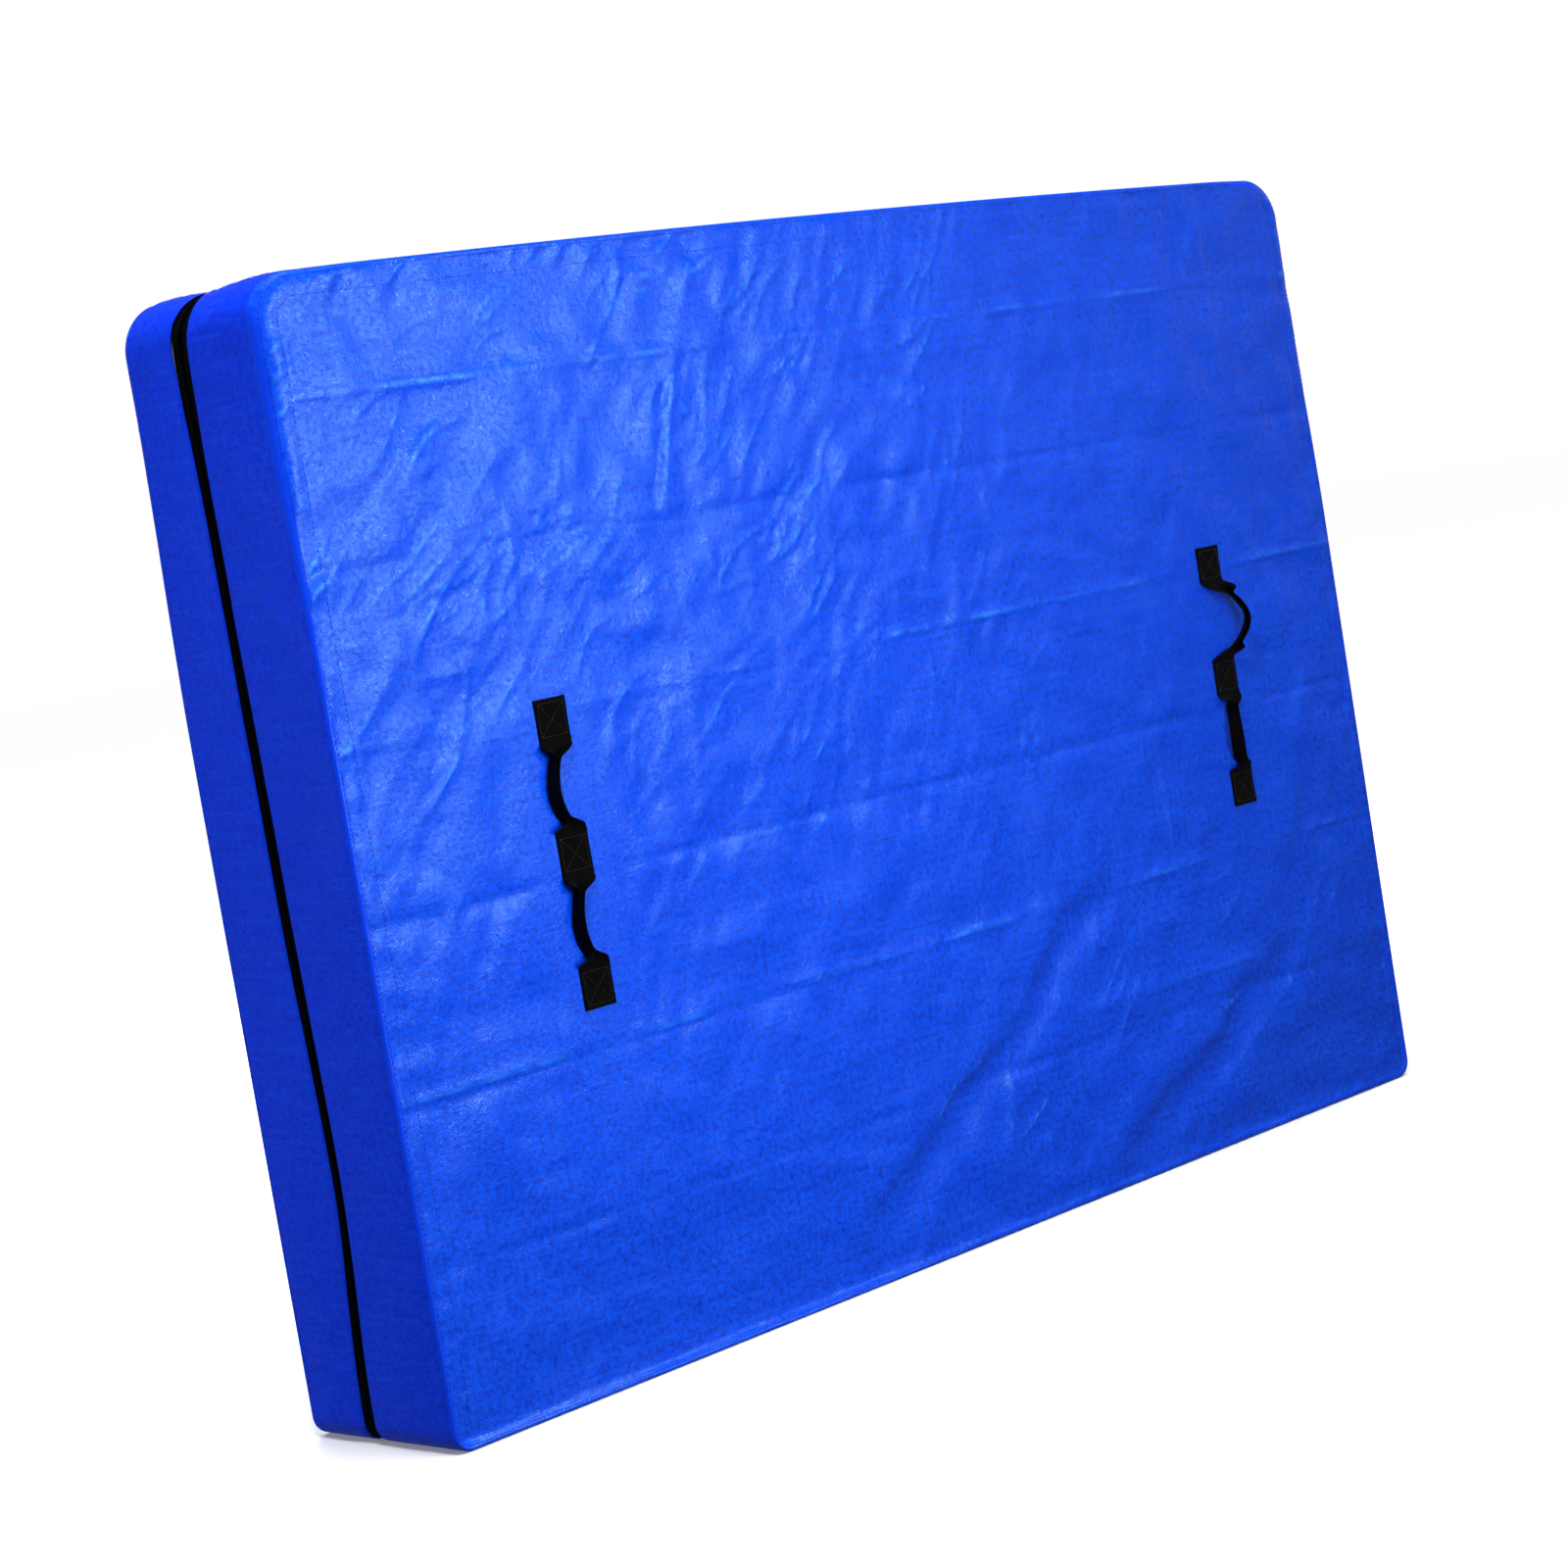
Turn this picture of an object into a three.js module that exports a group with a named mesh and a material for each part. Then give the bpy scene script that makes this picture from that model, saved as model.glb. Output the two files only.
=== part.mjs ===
// Zippered tarpaulin cover around a thick foam slab, standing on one of its long edges.
//
// Millimetres, +Z up. The origin is on the floor under the middle of the cover.
// The front face looks along -Y, the left end along -X, and the zip runs over the top, down the
// left end and back along the bottom. The front half of the cover opens like a door about an
// upright fold line in the middle of the right end.
import * as THREE from 'three';

// The cover
const WIDTH = 1900; // left end to right end
const HEIGHT = 1380;
const DEPTH = 282; // front face to rear face
const TOP_RADIUS = 60; // upper corners of the big faces
const BOTTOM_RADIUS = 25; // lower corners, which the weight presses square
const SKIN = 2.5; // tarpaulin, thickened so that each panel is a solid
const GAP = 0.3; // clearance between neighbouring pieces
const CORE_INSET = 8; // tarpaulin's inner face to the foam slab
const ARC_STEPS = 10; // straight steps in each rounded corner

// The zip
const ZIP_Y = 12; // its centre line, a little behind the middle of the depth
const ZIP_HALF_OPENING = 8; // centre line to each tarpaulin edge
const TAPE_NEAR = 3.7; // the tape's two edges, from the centre line
const TAPE_FAR = 16;
const TAPE_THICKNESS = 1;
const CHAIN_NEAR = 1.2; // the teeth's two edges, from the centre line
const CHAIN_FAR = 3.4;
const CHAIN_THICKNESS = 3;
const CHAIN_RECESS = 1.7; // the teeth's outer side, below the tarpaulin's face
const STOP_LENGTH = 4;
const STOP_HALF_WIDTH = 3;

// The slider, in the zip's cross section; heights count from the top of its lower plate
const SLIDER_LENGTH = 20;
const SLIDER_HALF_WIDTH = 7;
const LOWER_PLATE_HALF_WIDTH = 6;
const SLIDER_PLATE = 1.8; // thickness of the lower and the upper plate
const SLIDER_JAW = 3.6; // height between the plates
const NECK_HALF_WIDTH = 0.8;
const BAIL_HALF_LENGTH = 8; // the arch that holds the pull tab
const BAIL_HEIGHT = 3.9;
const BAIL_LEG = 2;
const BAIL_ROOF = 1.2;
const BAIL_HALF_WIDTH = 1.5;
const PULL_LENGTH = 34; // pivot to tip
const PULL_HALF_WIDTH = 4.5;
const PULL_THICKNESS = 1.5;
const PULL_BAR = 0.75; // half the side of the square bar that it pivots on
const PULL_WINDOW_END = 9.5; // pivot to the far side of the window that the arch stands in
const PULL_WINDOW_HALF_WIDTH = 2.1;
const PULL_LIFT = 1.35; // upper plate to the pivot

// The carry handles: a strap sewn down at three patches, with a hand loop between each two
const HANDLE_LENGTH = 381;
const PATCH_HEIGHT = 52;
const STRAP_WIDTH = 50;
const STRAP_THICKNESS = 3;
const HANDLE_SITES = [
  { side: 'left', x: -623, z: 651, upperLean: -75, lowerLean: -75 },
  { side: 'right', x: 654, z: 667, upperLean: 45, lowerLean: -50 },
];
const LOOP_AXIS = 5; // the line that a loop flops about, in front of the tarpaulin
const LOOP_BOW = 34; // how far a loop stands off that line
const LOOP_END_CLEARANCE = 2.5; // to the patch above and below
const LOOP_END_WIDTH = 8; // the strap is twisted, so it is narrow at the ends of a loop
const LOOP_MIDDLE_WIDTH = 20;
const LOOP_STEPS = 16;

const LEFT = -WIDTH / 2;
const RIGHT = WIDTH / 2;
const FRONT = -DEPTH / 2;
const REAR = DEPTH / 2;
const ZIP_END_TOP = RIGHT - TOP_RADIUS - GAP;
const ZIP_END_BOTTOM = RIGHT - BOTTOM_RADIUS - GAP;
const CHAIN_INNER = CHAIN_RECESS + CHAIN_THICKNESS;

const tarpaulin = new THREE.MeshStandardMaterial({ color: 0x1e55ff, roughness: 0.42, metalness: 0 });
const webbing = new THREE.MeshStandardMaterial({ color: 0x121214, roughness: 0.8, metalness: 0 });
const tape = new THREE.MeshStandardMaterial({ color: 0x08080a, roughness: 0.85, metalness: 0 });
const teeth = new THREE.MeshStandardMaterial({ color: 0x0b0b0d, roughness: 0.45, metalness: 0 });
const metal = new THREE.MeshStandardMaterial({ color: 0x202024, roughness: 0.35, metalness: 0.8 });
const foam = new THREE.MeshStandardMaterial({ color: 0xece8dc, roughness: 0.95, metalness: 0 });

const cover = new THREE.Group();

function addMesh(parent, name, geometry, material) {
  const mesh = new THREE.Mesh(geometry, material);
  mesh.name = name;
  parent.add(mesh);
  return mesh;
}

// ---- outlines in the plane of the front face: x across, z up ----

// A quarter turn about (x, z), from one angle to another
function corner(x, z, radius, from, to) {
  const points = [];
  for (let i = 0; i <= ARC_STEPS; i += 1) {
    const angle = from + (to - from) * (i / ARC_STEPS);
    points.push(new THREE.Vector2(x + radius * Math.cos(angle), z + radius * Math.sin(angle)));
  }
  return points;
}

// The outline's left end, from the top edge to the bottom edge, moved inwards by inset
function leftEnd(inset) {
  const upper = corner(
    LEFT + TOP_RADIUS, HEIGHT - TOP_RADIUS, TOP_RADIUS - inset, Math.PI / 2, Math.PI,
  );
  const lower = corner(
    LEFT + BOTTOM_RADIUS, BOTTOM_RADIUS, BOTTOM_RADIUS - inset, Math.PI, 1.5 * Math.PI,
  );
  return [...upper, ...lower];
}

function rightEnd(inset) {
  return leftEnd(inset).map((point) => new THREE.Vector2(-point.x, point.y));
}

// The zip's run: along the top, down the left end and back along the bottom
function zipRun(inset) {
  return [
    new THREE.Vector2(ZIP_END_TOP - STOP_LENGTH - GAP, HEIGHT - inset),
    ...leftEnd(inset),
    new THREE.Vector2(ZIP_END_BOTTOM - STOP_LENGTH - GAP, inset),
  ];
}

function fullOutline(inset) {
  return new THREE.Shape([...leftEnd(inset), ...rightEnd(inset).reverse()]);
}

// The band between a run at one inset and the same run further in
function band(run, outerInset, innerInset) {
  return new THREE.Shape([...run(outerInset), ...run(innerInset).reverse()]);
}

function rectangle(x0, z0, x1, z1) {
  return new THREE.Shape([
    new THREE.Vector2(x0, z0),
    new THREE.Vector2(x1, z0),
    new THREE.Vector2(x1, z1),
    new THREE.Vector2(x0, z1),
  ]);
}

// Makes an (x, z) outline into a solid from one y to another
function addExtruded(name, shape, yFrom, yTo, material) {
  const geometry = new THREE.ExtrudeGeometry(shape, { depth: yTo - yFrom, bevelEnabled: false });
  const mesh = addMesh(cover, name, geometry, material);
  mesh.rotation.x = Math.PI / 2;
  mesh.position.y = yTo;
  return mesh;
}

// ---- the tarpaulin and the foam slab ----

// The four walls of one half of the cover. Its end walls take the rounded corners.
function addWalls(half, yPanel, yZip, yFold) {
  const topEnd = RIGHT - TOP_RADIUS - GAP;
  const bottomEnd = RIGHT - BOTTOM_RADIUS - GAP;
  const top = rectangle(-topEnd, HEIGHT - SKIN, topEnd, HEIGHT);
  const bottom = rectangle(-bottomEnd, 0, bottomEnd, SKIN);
  const between = (a, b) => [Math.min(a, b), Math.max(a, b)];
  addExtruded(`${half}_wall_top`, top, ...between(yPanel, yZip), tarpaulin);
  addExtruded(`${half}_wall_bottom`, bottom, ...between(yPanel, yZip), tarpaulin);
  addExtruded(`${half}_wall_left`, band(leftEnd, 0, SKIN), ...between(yPanel, yZip), tarpaulin);
  addExtruded(`${half}_wall_right`, band(rightEnd, 0, SKIN), ...between(yPanel, yFold), tarpaulin);
}

function addCover() {
  const frontInside = FRONT + SKIN;
  const rearInside = REAR - SKIN;
  addExtruded('front_panel', fullOutline(0), FRONT, frontInside, tarpaulin);
  addExtruded('rear_panel', fullOutline(0), rearInside, REAR, tarpaulin);
  addWalls('front', frontInside + GAP, ZIP_Y - ZIP_HALF_OPENING, ZIP_Y - GAP / 2);
  addWalls('rear', rearInside - GAP, ZIP_Y + ZIP_HALF_OPENING, ZIP_Y + GAP / 2);
  const core = fullOutline(SKIN + CORE_INSET);
  addExtruded('foam_core', core, frontInside + CORE_INSET, rearInside - CORE_INSET, foam);
}

// ---- the zip ----

// One side's tape and teeth; side is -1 at the front and 1 at the rear
function addZipSide(name, side) {
  const span = (near, far) => [ZIP_Y + side * near, ZIP_Y + side * far].sort((a, b) => a - b);
  const tapeOuter = SKIN + GAP;
  const tapeBand = band(zipRun, tapeOuter, tapeOuter + TAPE_THICKNESS);
  const chainBand = band(zipRun, CHAIN_RECESS, CHAIN_INNER);
  addExtruded(`zip_tape_${name}`, tapeBand, ...span(TAPE_NEAR, TAPE_FAR), tape);
  addExtruded(`zip_teeth_${name}`, chainBand, ...span(CHAIN_NEAR, CHAIN_FAR), teeth);
}

// A metal stop past each end of the teeth
function addStops() {
  const y = [ZIP_Y - STOP_HALF_WIDTH, ZIP_Y + STOP_HALF_WIDTH];
  const upper = rectangle(
    ZIP_END_TOP - STOP_LENGTH, HEIGHT - CHAIN_INNER, ZIP_END_TOP, HEIGHT - CHAIN_RECESS,
  );
  const lower = rectangle(
    ZIP_END_BOTTOM - STOP_LENGTH, CHAIN_RECESS, ZIP_END_BOTTOM, CHAIN_INNER,
  );
  addExtruded('zip_stop_upper', upper, ...y, metal);
  addExtruded('zip_stop_lower', lower, ...y, metal);
}

// The slider's cross section: y across, z up from the top of the lower plate
function sliderSection() {
  const roof = SLIDER_JAW + SLIDER_PLATE;
  const rightHalf = [
    [LOWER_PLATE_HALF_WIDTH, -SLIDER_PLATE],
    [LOWER_PLATE_HALF_WIDTH, 0],
    [NECK_HALF_WIDTH, 0],
    [NECK_HALF_WIDTH, SLIDER_JAW],
    [SLIDER_HALF_WIDTH, SLIDER_JAW],
    [SLIDER_HALF_WIDTH, roof],
  ].map(([y, z]) => new THREE.Vector2(y, z));
  const leftHalf = rightHalf.map((point) => new THREE.Vector2(-point.x, point.y)).reverse();
  return new THREE.Shape([...rightHalf, ...leftHalf]);
}

// The bail seen from the side: an arch on two legs
function bailOutline() {
  const inner = BAIL_HALF_LENGTH - BAIL_LEG;
  return new THREE.Shape([
    new THREE.Vector2(-BAIL_HALF_LENGTH, 0),
    new THREE.Vector2(-inner, 0),
    new THREE.Vector2(-inner, BAIL_HEIGHT - BAIL_ROOF),
    new THREE.Vector2(inner, BAIL_HEIGHT - BAIL_ROOF),
    new THREE.Vector2(inner, 0),
    new THREE.Vector2(BAIL_HALF_LENGTH, 0),
    new THREE.Vector2(BAIL_HALF_LENGTH, BAIL_HEIGHT - BAIL_ROOF),
    new THREE.Vector2(inner, BAIL_HEIGHT),
    new THREE.Vector2(-inner, BAIL_HEIGHT),
    new THREE.Vector2(-BAIL_HALF_LENGTH, BAIL_HEIGHT - BAIL_ROOF),
  ]);
}

// The pull tab from above, with its pivot at the origin and its round tip towards -X
function pullOutline() {
  const tipCentre = -PULL_LENGTH + PULL_HALF_WIDTH;
  const outline = new THREE.Shape();
  outline.moveTo(PULL_BAR, -PULL_HALF_WIDTH);
  outline.lineTo(PULL_BAR, PULL_HALF_WIDTH);
  outline.lineTo(tipCentre, PULL_HALF_WIDTH);
  outline.absarc(tipCentre, 0, PULL_HALF_WIDTH, Math.PI / 2, 1.5 * Math.PI, false);
  outline.closePath();
  const eye = new THREE.Path();
  eye.moveTo(-PULL_BAR, -PULL_WINDOW_HALF_WIDTH);
  eye.lineTo(-PULL_WINDOW_END, -PULL_WINDOW_HALF_WIDTH);
  eye.lineTo(-PULL_WINDOW_END, PULL_WINDOW_HALF_WIDTH);
  eye.lineTo(-PULL_BAR, PULL_WINDOW_HALF_WIDTH);
  eye.closePath();
  outline.holes.push(eye);
  return outline;
}

// The slider is parked at the closed end of the zip, by the upper stop
function addSlider() {
  const slider = new THREE.Group();
  const jawFloor = HEIGHT - CHAIN_INNER - GAP;
  slider.position.set(ZIP_END_TOP - STOP_LENGTH - 2 * GAP - SLIDER_LENGTH / 2, ZIP_Y, jawFloor);
  cover.add(slider);

  const bodyGeometry = new THREE.ExtrudeGeometry(
    sliderSection(), { depth: SLIDER_LENGTH, bevelEnabled: false },
  );
  const body = addMesh(slider, 'slider_body', bodyGeometry, metal);
  body.rotation.set(Math.PI / 2, Math.PI / 2, 0);
  body.position.x = -SLIDER_LENGTH / 2;

  const roof = SLIDER_JAW + SLIDER_PLATE;
  const bailGeometry = new THREE.ExtrudeGeometry(
    bailOutline(), { depth: 2 * BAIL_HALF_WIDTH, bevelEnabled: false },
  );
  const bail = addMesh(slider, 'slider_bail', bailGeometry, metal);
  bail.rotation.x = Math.PI / 2;
  bail.position.set(0, BAIL_HALF_WIDTH, roof + GAP);

  const pullGeometry = new THREE.ExtrudeGeometry(
    pullOutline(), { depth: PULL_THICKNESS, bevelEnabled: false, curveSegments: 10 },
  );
  const pull = addMesh(slider, 'pull_tab', pullGeometry, metal);
  pull.position.z = roof + PULL_LIFT - PULL_THICKNESS / 2;
}

// ---- the carry handles ----

// A closed solid through rectangular sections, each a list of four corners in order
function loft(sections) {
  const positions = sections.flat().flatMap((corner3) => [corner3.x, corner3.y, corner3.z]);
  const index = [];
  for (let i = 0; i < sections.length - 1; i += 1) {
    for (let j = 0; j < 4; j += 1) {
      const a = 4 * i + j;
      const b = 4 * i + ((j + 1) % 4);
      index.push(a, b, b + 4, a, b + 4, a + 4);
    }
  }
  const last = 4 * (sections.length - 1);
  index.push(0, 2, 1, 0, 3, 2, last, last + 1, last + 2, last, last + 2, last + 3);
  const geometry = new THREE.BufferGeometry();
  geometry.setAttribute('position', new THREE.Float32BufferAttribute(positions, 3));
  geometry.setIndex(index);
  geometry.computeVertexNormals();
  return geometry;
}

// A hand loop that bows towards -Y from an upright axis through its two ends
function loopGeometry(span) {
  const sections = [];
  for (let i = 0; i <= LOOP_STEPS; i += 1) {
    const angle = (Math.PI * i) / LOOP_STEPS;
    const bow = Math.sin(angle);
    const width = LOOP_END_WIDTH + (LOOP_MIDDLE_WIDTH - LOOP_END_WIDTH) * bow;
    const centre = new THREE.Vector3(0, -LOOP_BOW * bow, span * (i / LOOP_STEPS - 0.5));
    const along = new THREE.Vector3(0, -LOOP_BOW * Math.cos(angle), span / Math.PI).normalize();
    const across = new THREE.Vector3(width / 2, 0, 0);
    const out = new THREE.Vector3(0, along.z, -along.y).multiplyScalar(STRAP_THICKNESS / 2);
    sections.push([
      centre.clone().add(across).add(out),
      centre.clone().sub(across).add(out),
      centre.clone().sub(across).sub(out),
      centre.clone().add(across).sub(out),
    ]);
  }
  return loft(sections);
}

// The handles of one face, built as for the front; the rear face's are turned half round
function addHandles(face, turn) {
  const handles = new THREE.Group();
  handles.rotation.z = turn;
  cover.add(handles);
  const patchStep = (HANDLE_LENGTH - PATCH_HEIGHT) / 2;
  const span = patchStep - PATCH_HEIGHT - 2 * LOOP_END_CLEARANCE;
  const patchGeometry = new THREE.BoxGeometry(STRAP_WIDTH, STRAP_THICKNESS, PATCH_HEIGHT);
  for (const site of HANDLE_SITES) {
    const name = `${face}_${site.side}`;
    ['lower', 'middle', 'upper'].forEach((place, i) => {
      const patch = addMesh(handles, `${name}_patch_${place}`, patchGeometry, webbing);
      const z = site.z + (i - 1) * patchStep;
      patch.position.set(site.x, FRONT - GAP - STRAP_THICKNESS / 2, z);
    });
    const leans = { lower: site.lowerLean, upper: site.upperLean };
    Object.entries(leans).forEach(([place, lean], i) => {
      const loop = addMesh(handles, `${name}_loop_${place}`, loopGeometry(span), webbing);
      loop.position.set(site.x, FRONT - LOOP_AXIS, site.z + (i - 0.5) * patchStep);
      loop.rotation.z = THREE.MathUtils.degToRad(lean);
    });
  }
}

addCover();
addZipSide('front', -1);
addZipSide('rear', 1);
addStops();
addSlider();
addHandles('front', 0);
addHandles('rear', Math.PI);

export default cover;
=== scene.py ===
"""Zippered blue tarpaulin cover round a thick foam slab, standing on one of its long edges.

Metres, in the CAD model's frame: +X to the right end, the front face looks along -Y, +Z is up.
"""

import math

import bmesh
import bpy
import numpy as np
from mathutils import Matrix, Vector


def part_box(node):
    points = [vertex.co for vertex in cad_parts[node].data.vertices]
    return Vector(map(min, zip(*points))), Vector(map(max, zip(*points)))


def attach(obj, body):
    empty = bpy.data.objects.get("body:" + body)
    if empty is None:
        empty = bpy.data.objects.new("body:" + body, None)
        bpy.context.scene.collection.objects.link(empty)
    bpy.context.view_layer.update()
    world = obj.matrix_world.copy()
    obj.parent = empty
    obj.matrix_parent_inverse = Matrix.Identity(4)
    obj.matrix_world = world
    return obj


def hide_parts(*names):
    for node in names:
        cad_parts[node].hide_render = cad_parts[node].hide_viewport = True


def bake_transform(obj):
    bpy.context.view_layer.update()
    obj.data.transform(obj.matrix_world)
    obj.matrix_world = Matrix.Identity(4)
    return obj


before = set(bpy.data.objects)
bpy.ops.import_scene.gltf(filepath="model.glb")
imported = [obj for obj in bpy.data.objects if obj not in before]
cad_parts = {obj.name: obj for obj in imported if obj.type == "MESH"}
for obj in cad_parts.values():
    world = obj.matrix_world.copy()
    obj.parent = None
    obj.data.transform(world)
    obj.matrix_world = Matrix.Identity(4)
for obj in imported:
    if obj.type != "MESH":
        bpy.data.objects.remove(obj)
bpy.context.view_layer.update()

# ---- sizes, from the frame ----

front_low, front_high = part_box("front_panel")
LEFT = front_low.x
RIGHT = front_high.x
WIDTH = RIGHT - LEFT
HEIGHT = front_high.z
HALF_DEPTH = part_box("rear_panel")[1].y
ZIP_Y = (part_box("zip_teeth_front")[1].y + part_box("zip_teeth_rear")[0].y) / 2
TOP_RADIUS = 0.060  # the outline's upper and lower corners, as in the CAD model
BOTTOM_RADIUS = 0.025

# ---- sizes of what CAD leaves plain ----

SHEET_CELL = 0.0056  # mesh cells of the two big panels, and of the walls
WALL_CELL = 0.006
BROAD_RELIEF = (0.0066, 0.0034)  # most that slack goes in and out; the slab lies 10.5 mm behind
FINE_RELIEF = (0.0028, 0.0036)  # the same for creases
SHARP_EDGE = 0.004  # radius of the fold between a panel and its wall
SOFT_EDGE = 0.020  # the same, near the upper corners
SOFT_REACH = 0.16  # how far in from the ends the fold is soft
SOFT_FROM = 0.85  # height where it starts to be soft, and how far up it takes
SOFT_SPAN = 0.42
SEAM_DEPTH = 0.0012  # the groove beside a seam, its distance from the seam and its width
SEAM_PLACE = 0.003
SEAM_WIDTH = 0.0022
TOP_BOW = 0.008  # how far the top's front and rear edges arch up
ZIP_HALF_OPENING = 0.0098  # the zip's centre to the tarpaulin's edge
CORNER_GAPE = 0.0072  # how much further it is at the upper left corner
FOOT_NARROWING = 0.0022  # how much less near the foot of the left end
HEM_RETURN = 0.012  # tarpaulin turned under along the zip
ZIP_STITCH_REACH = 0.0045  # the tarpaulin's edge along the zip to its stitches
UNDERSIDE_TOP = 0.004  # no zip stitches below this height, where they would meet the floor
HEM_WIDTH = 0.030  # a panel's edge to the inner stitch line
HEM_LINE = 0.0065  # a panel's edge to the outer stitch line
HEM_TURN = 0.012  # stitches nearer the edge than this lean outwards
STITCH_PITCH = 0.0068
STITCH_LENGTH = 0.0050
STITCH_RADIUS = 0.00042
WEAR_AND_HIGHLIGHT_START = 0.00020  # height over the neighbouring points where a crease starts to look worn and to get a painted highlight
WEAR_AND_HIGHLIGHT_SPAN = 0.00080
COIL_PITCH = 0.0032
ZIP_DEPTH = 0.0032  # the tapes and teeth lie this far inside the outline
TAPE_EDGE = 0.0034  # a tape's inner edge, from the zip's centre
TAPE_THICKNESS = 0.0006
SHADE_STRIP_DEPTH = 0.0078  # the dark strip behind the zip, painted shade for the gap, lies under the slider, and over the slab
SHADE_STRIP_REACH = (-0.0135, 0.0200)  # its two edges, from the zip's centre
METAL_ROUNDING = 0.0003
PACKING_FOLD = 0.205  # distance between the level creases
UPRIGHT_FOLD = 0.270  # and between the upright ones

# ---- small helpers ----


def smooth(value):
    """Eases from 0 to 1 as the value does."""
    value = np.clip(value, 0.0, 1.0)
    return value * value * (3.0 - 2.0 * value)


def bell(value, width):
    """1 at 0, fading to both sides."""
    return np.exp(-((value / width) ** 2))


def unit(vectors):
    return vectors / np.linalg.norm(vectors, axis=1)[:, None]


def join(*values):
    """Places from their x, y and z, or flat places from u and v."""
    return np.stack(values, axis=-1)


def link(name, data):
    obj = bpy.data.objects.new(name, data)
    bpy.context.scene.collection.objects.link(obj)
    return obj


def smooth_steps(value, stops):
    """Eases from one (place, height) stop to the next."""
    result = np.full_like(value, stops[0][1], dtype=float)
    for (start, low), (end, high) in zip(stops, stops[1:]):
        result = result + (high - low) * smooth((value - start) / (end - start))
    return result


NOISE_SIZE = 128
NOISE_LAYERS = 12
NOISE_SHAPE = (NOISE_LAYERS, NOISE_SIZE, NOISE_SIZE)
noise_angles = np.random.default_rng(41).uniform(0, 2 * math.pi, NOISE_SHAPE)


def noise(u, v, layer):
    """Smooth noise from about -1 to 1 that changes over a distance of 1."""
    angles = noise_angles[layer]
    column, row = np.floor(u).astype(int), np.floor(v).astype(int)
    du, dv = u - column, v - row

    def corner(right, up):
        angle = angles[(column + right) % NOISE_SIZE, (row + up) % NOISE_SIZE]
        return np.cos(angle) * (du - right) + np.sin(angle) * (dv - up)

    lower = corner(0, 0) + smooth(du) * (corner(1, 0) - corner(0, 0))
    upper = corner(0, 1) + smooth(du) * (corner(1, 1) - corner(0, 1))
    return 1.5 * (lower + smooth(dv) * (upper - lower))


def crease(x, z, points, width, height, soft=False, ends=0.15):
    """A ridge, or a valley where height is negative, along a line that fades out at its ends."""
    nearest = np.full(x.shape, 1e9)
    share = np.zeros(x.shape)
    total = sum(math.dist(a, b) for a, b in zip(points, points[1:]))
    done = 0.0
    for (ax, az), (bx, bz) in zip(points, points[1:]):
        length = math.dist((ax, az), (bx, bz))
        along = ((x - ax) * (bx - ax) + (z - az) * (bz - az)) / length**2
        along = np.clip(along, 0.0, 1.0)
        away = np.hypot(x - ax - along * (bx - ax), z - az - along * (bz - az))
        closer = away < nearest
        nearest = np.where(closer, away, nearest)
        share = np.where(closer, (done + along * length) / total, share)
        done += length
    profile = bell(nearest, width) if soft else np.exp(-nearest / width)
    return height * profile * smooth(share / ends) * smooth((1.0 - share) / ends)


def grid_faces(rows, columns, flip=False, around=False):
    """Quads between neighbouring rows of points; around joins the last column to the first."""
    row, column = np.meshgrid(
        np.arange(rows - 1), np.arange(columns if around else columns - 1), indexing="ij"
    )
    here = row * columns + column
    beside = row * columns + (column + 1) % columns
    quads = join(here, beside, beside + columns, here + columns).reshape(-1, 4)
    return (quads[:, ::-1] if flip else quads).tolist()


def tube_faces(rings, sides, flip=False):
    """Quads between rings of points, and one face over each end."""
    near = list(range(sides))
    far = [(rings - 1) * sides + i for i in near]
    ends = [near, far[::-1]] if flip else [near[::-1], far]
    return grid_faces(rings, sides, flip, around=True) + ends


# ---- the outline of the big faces ----


def outline_frame(x, z):
    """Depth inside the outline, and the outline's outward direction nearest to (x, z)."""
    middle = HEIGHT / 2
    radius = np.where(z > middle, TOP_RADIUS, BOTTOM_RADIUS)
    past_x = np.abs(x) - (RIGHT - radius)
    past_z = np.abs(z - middle) - (middle - radius)
    outside = np.hypot(np.maximum(past_x, 0), np.maximum(past_z, 0))
    depth = radius - outside - np.minimum(np.maximum(past_x, past_z), 0)
    in_corner = (past_x > 0) & (past_z > 0)
    sideways = past_x > past_z
    safe = np.maximum(outside, 1e-9)
    nx = np.where(in_corner, past_x / safe, np.where(sideways, 1.0, 0.0)) * np.sign(x)
    nz = np.where(in_corner, past_z / safe, np.where(sideways, 0.0, 1.0)) * np.sign(z - middle)
    return depth, nx, nz


def half_width(z):
    """Half the outline's width at each height."""
    top = np.clip(z - (HEIGHT - TOP_RADIUS), 0, TOP_RADIUS)
    low = np.clip(BOTTOM_RADIUS - z, 0, BOTTOM_RADIUS)
    top_cut = TOP_RADIUS - np.sqrt(TOP_RADIUS**2 - top**2)
    low_cut = BOTTOM_RADIUS - np.sqrt(BOTTOM_RADIUS**2 - low**2)
    return RIGHT - top_cut - low_cut


# The walk round the outline: along the top to the left, down the left end, back along the
# bottom, and up the right end. Its corners keep their own radius.
TOP_RUN = WIDTH - 2 * TOP_RADIUS
TOP_TURN = TOP_RADIUS * math.pi / 2
SIDE_RUN = HEIGHT - TOP_RADIUS - BOTTOM_RADIUS
BOTTOM_TURN = BOTTOM_RADIUS * math.pi / 2
BOTTOM_RUN = WIDTH - 2 * BOTTOM_RADIUS
ZIP_WALK = TOP_RUN + TOP_TURN + SIDE_RUN + BOTTOM_TURN + BOTTOM_RUN
WHOLE_WALK = ZIP_WALK + BOTTOM_TURN + SIDE_RUN + TOP_TURN
LEFT_END_TOP = TOP_RUN + TOP_TURN  # the walk's length at the top of the left end
LEFT_END_BOTTOM = LEFT_END_TOP + SIDE_RUN


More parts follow.
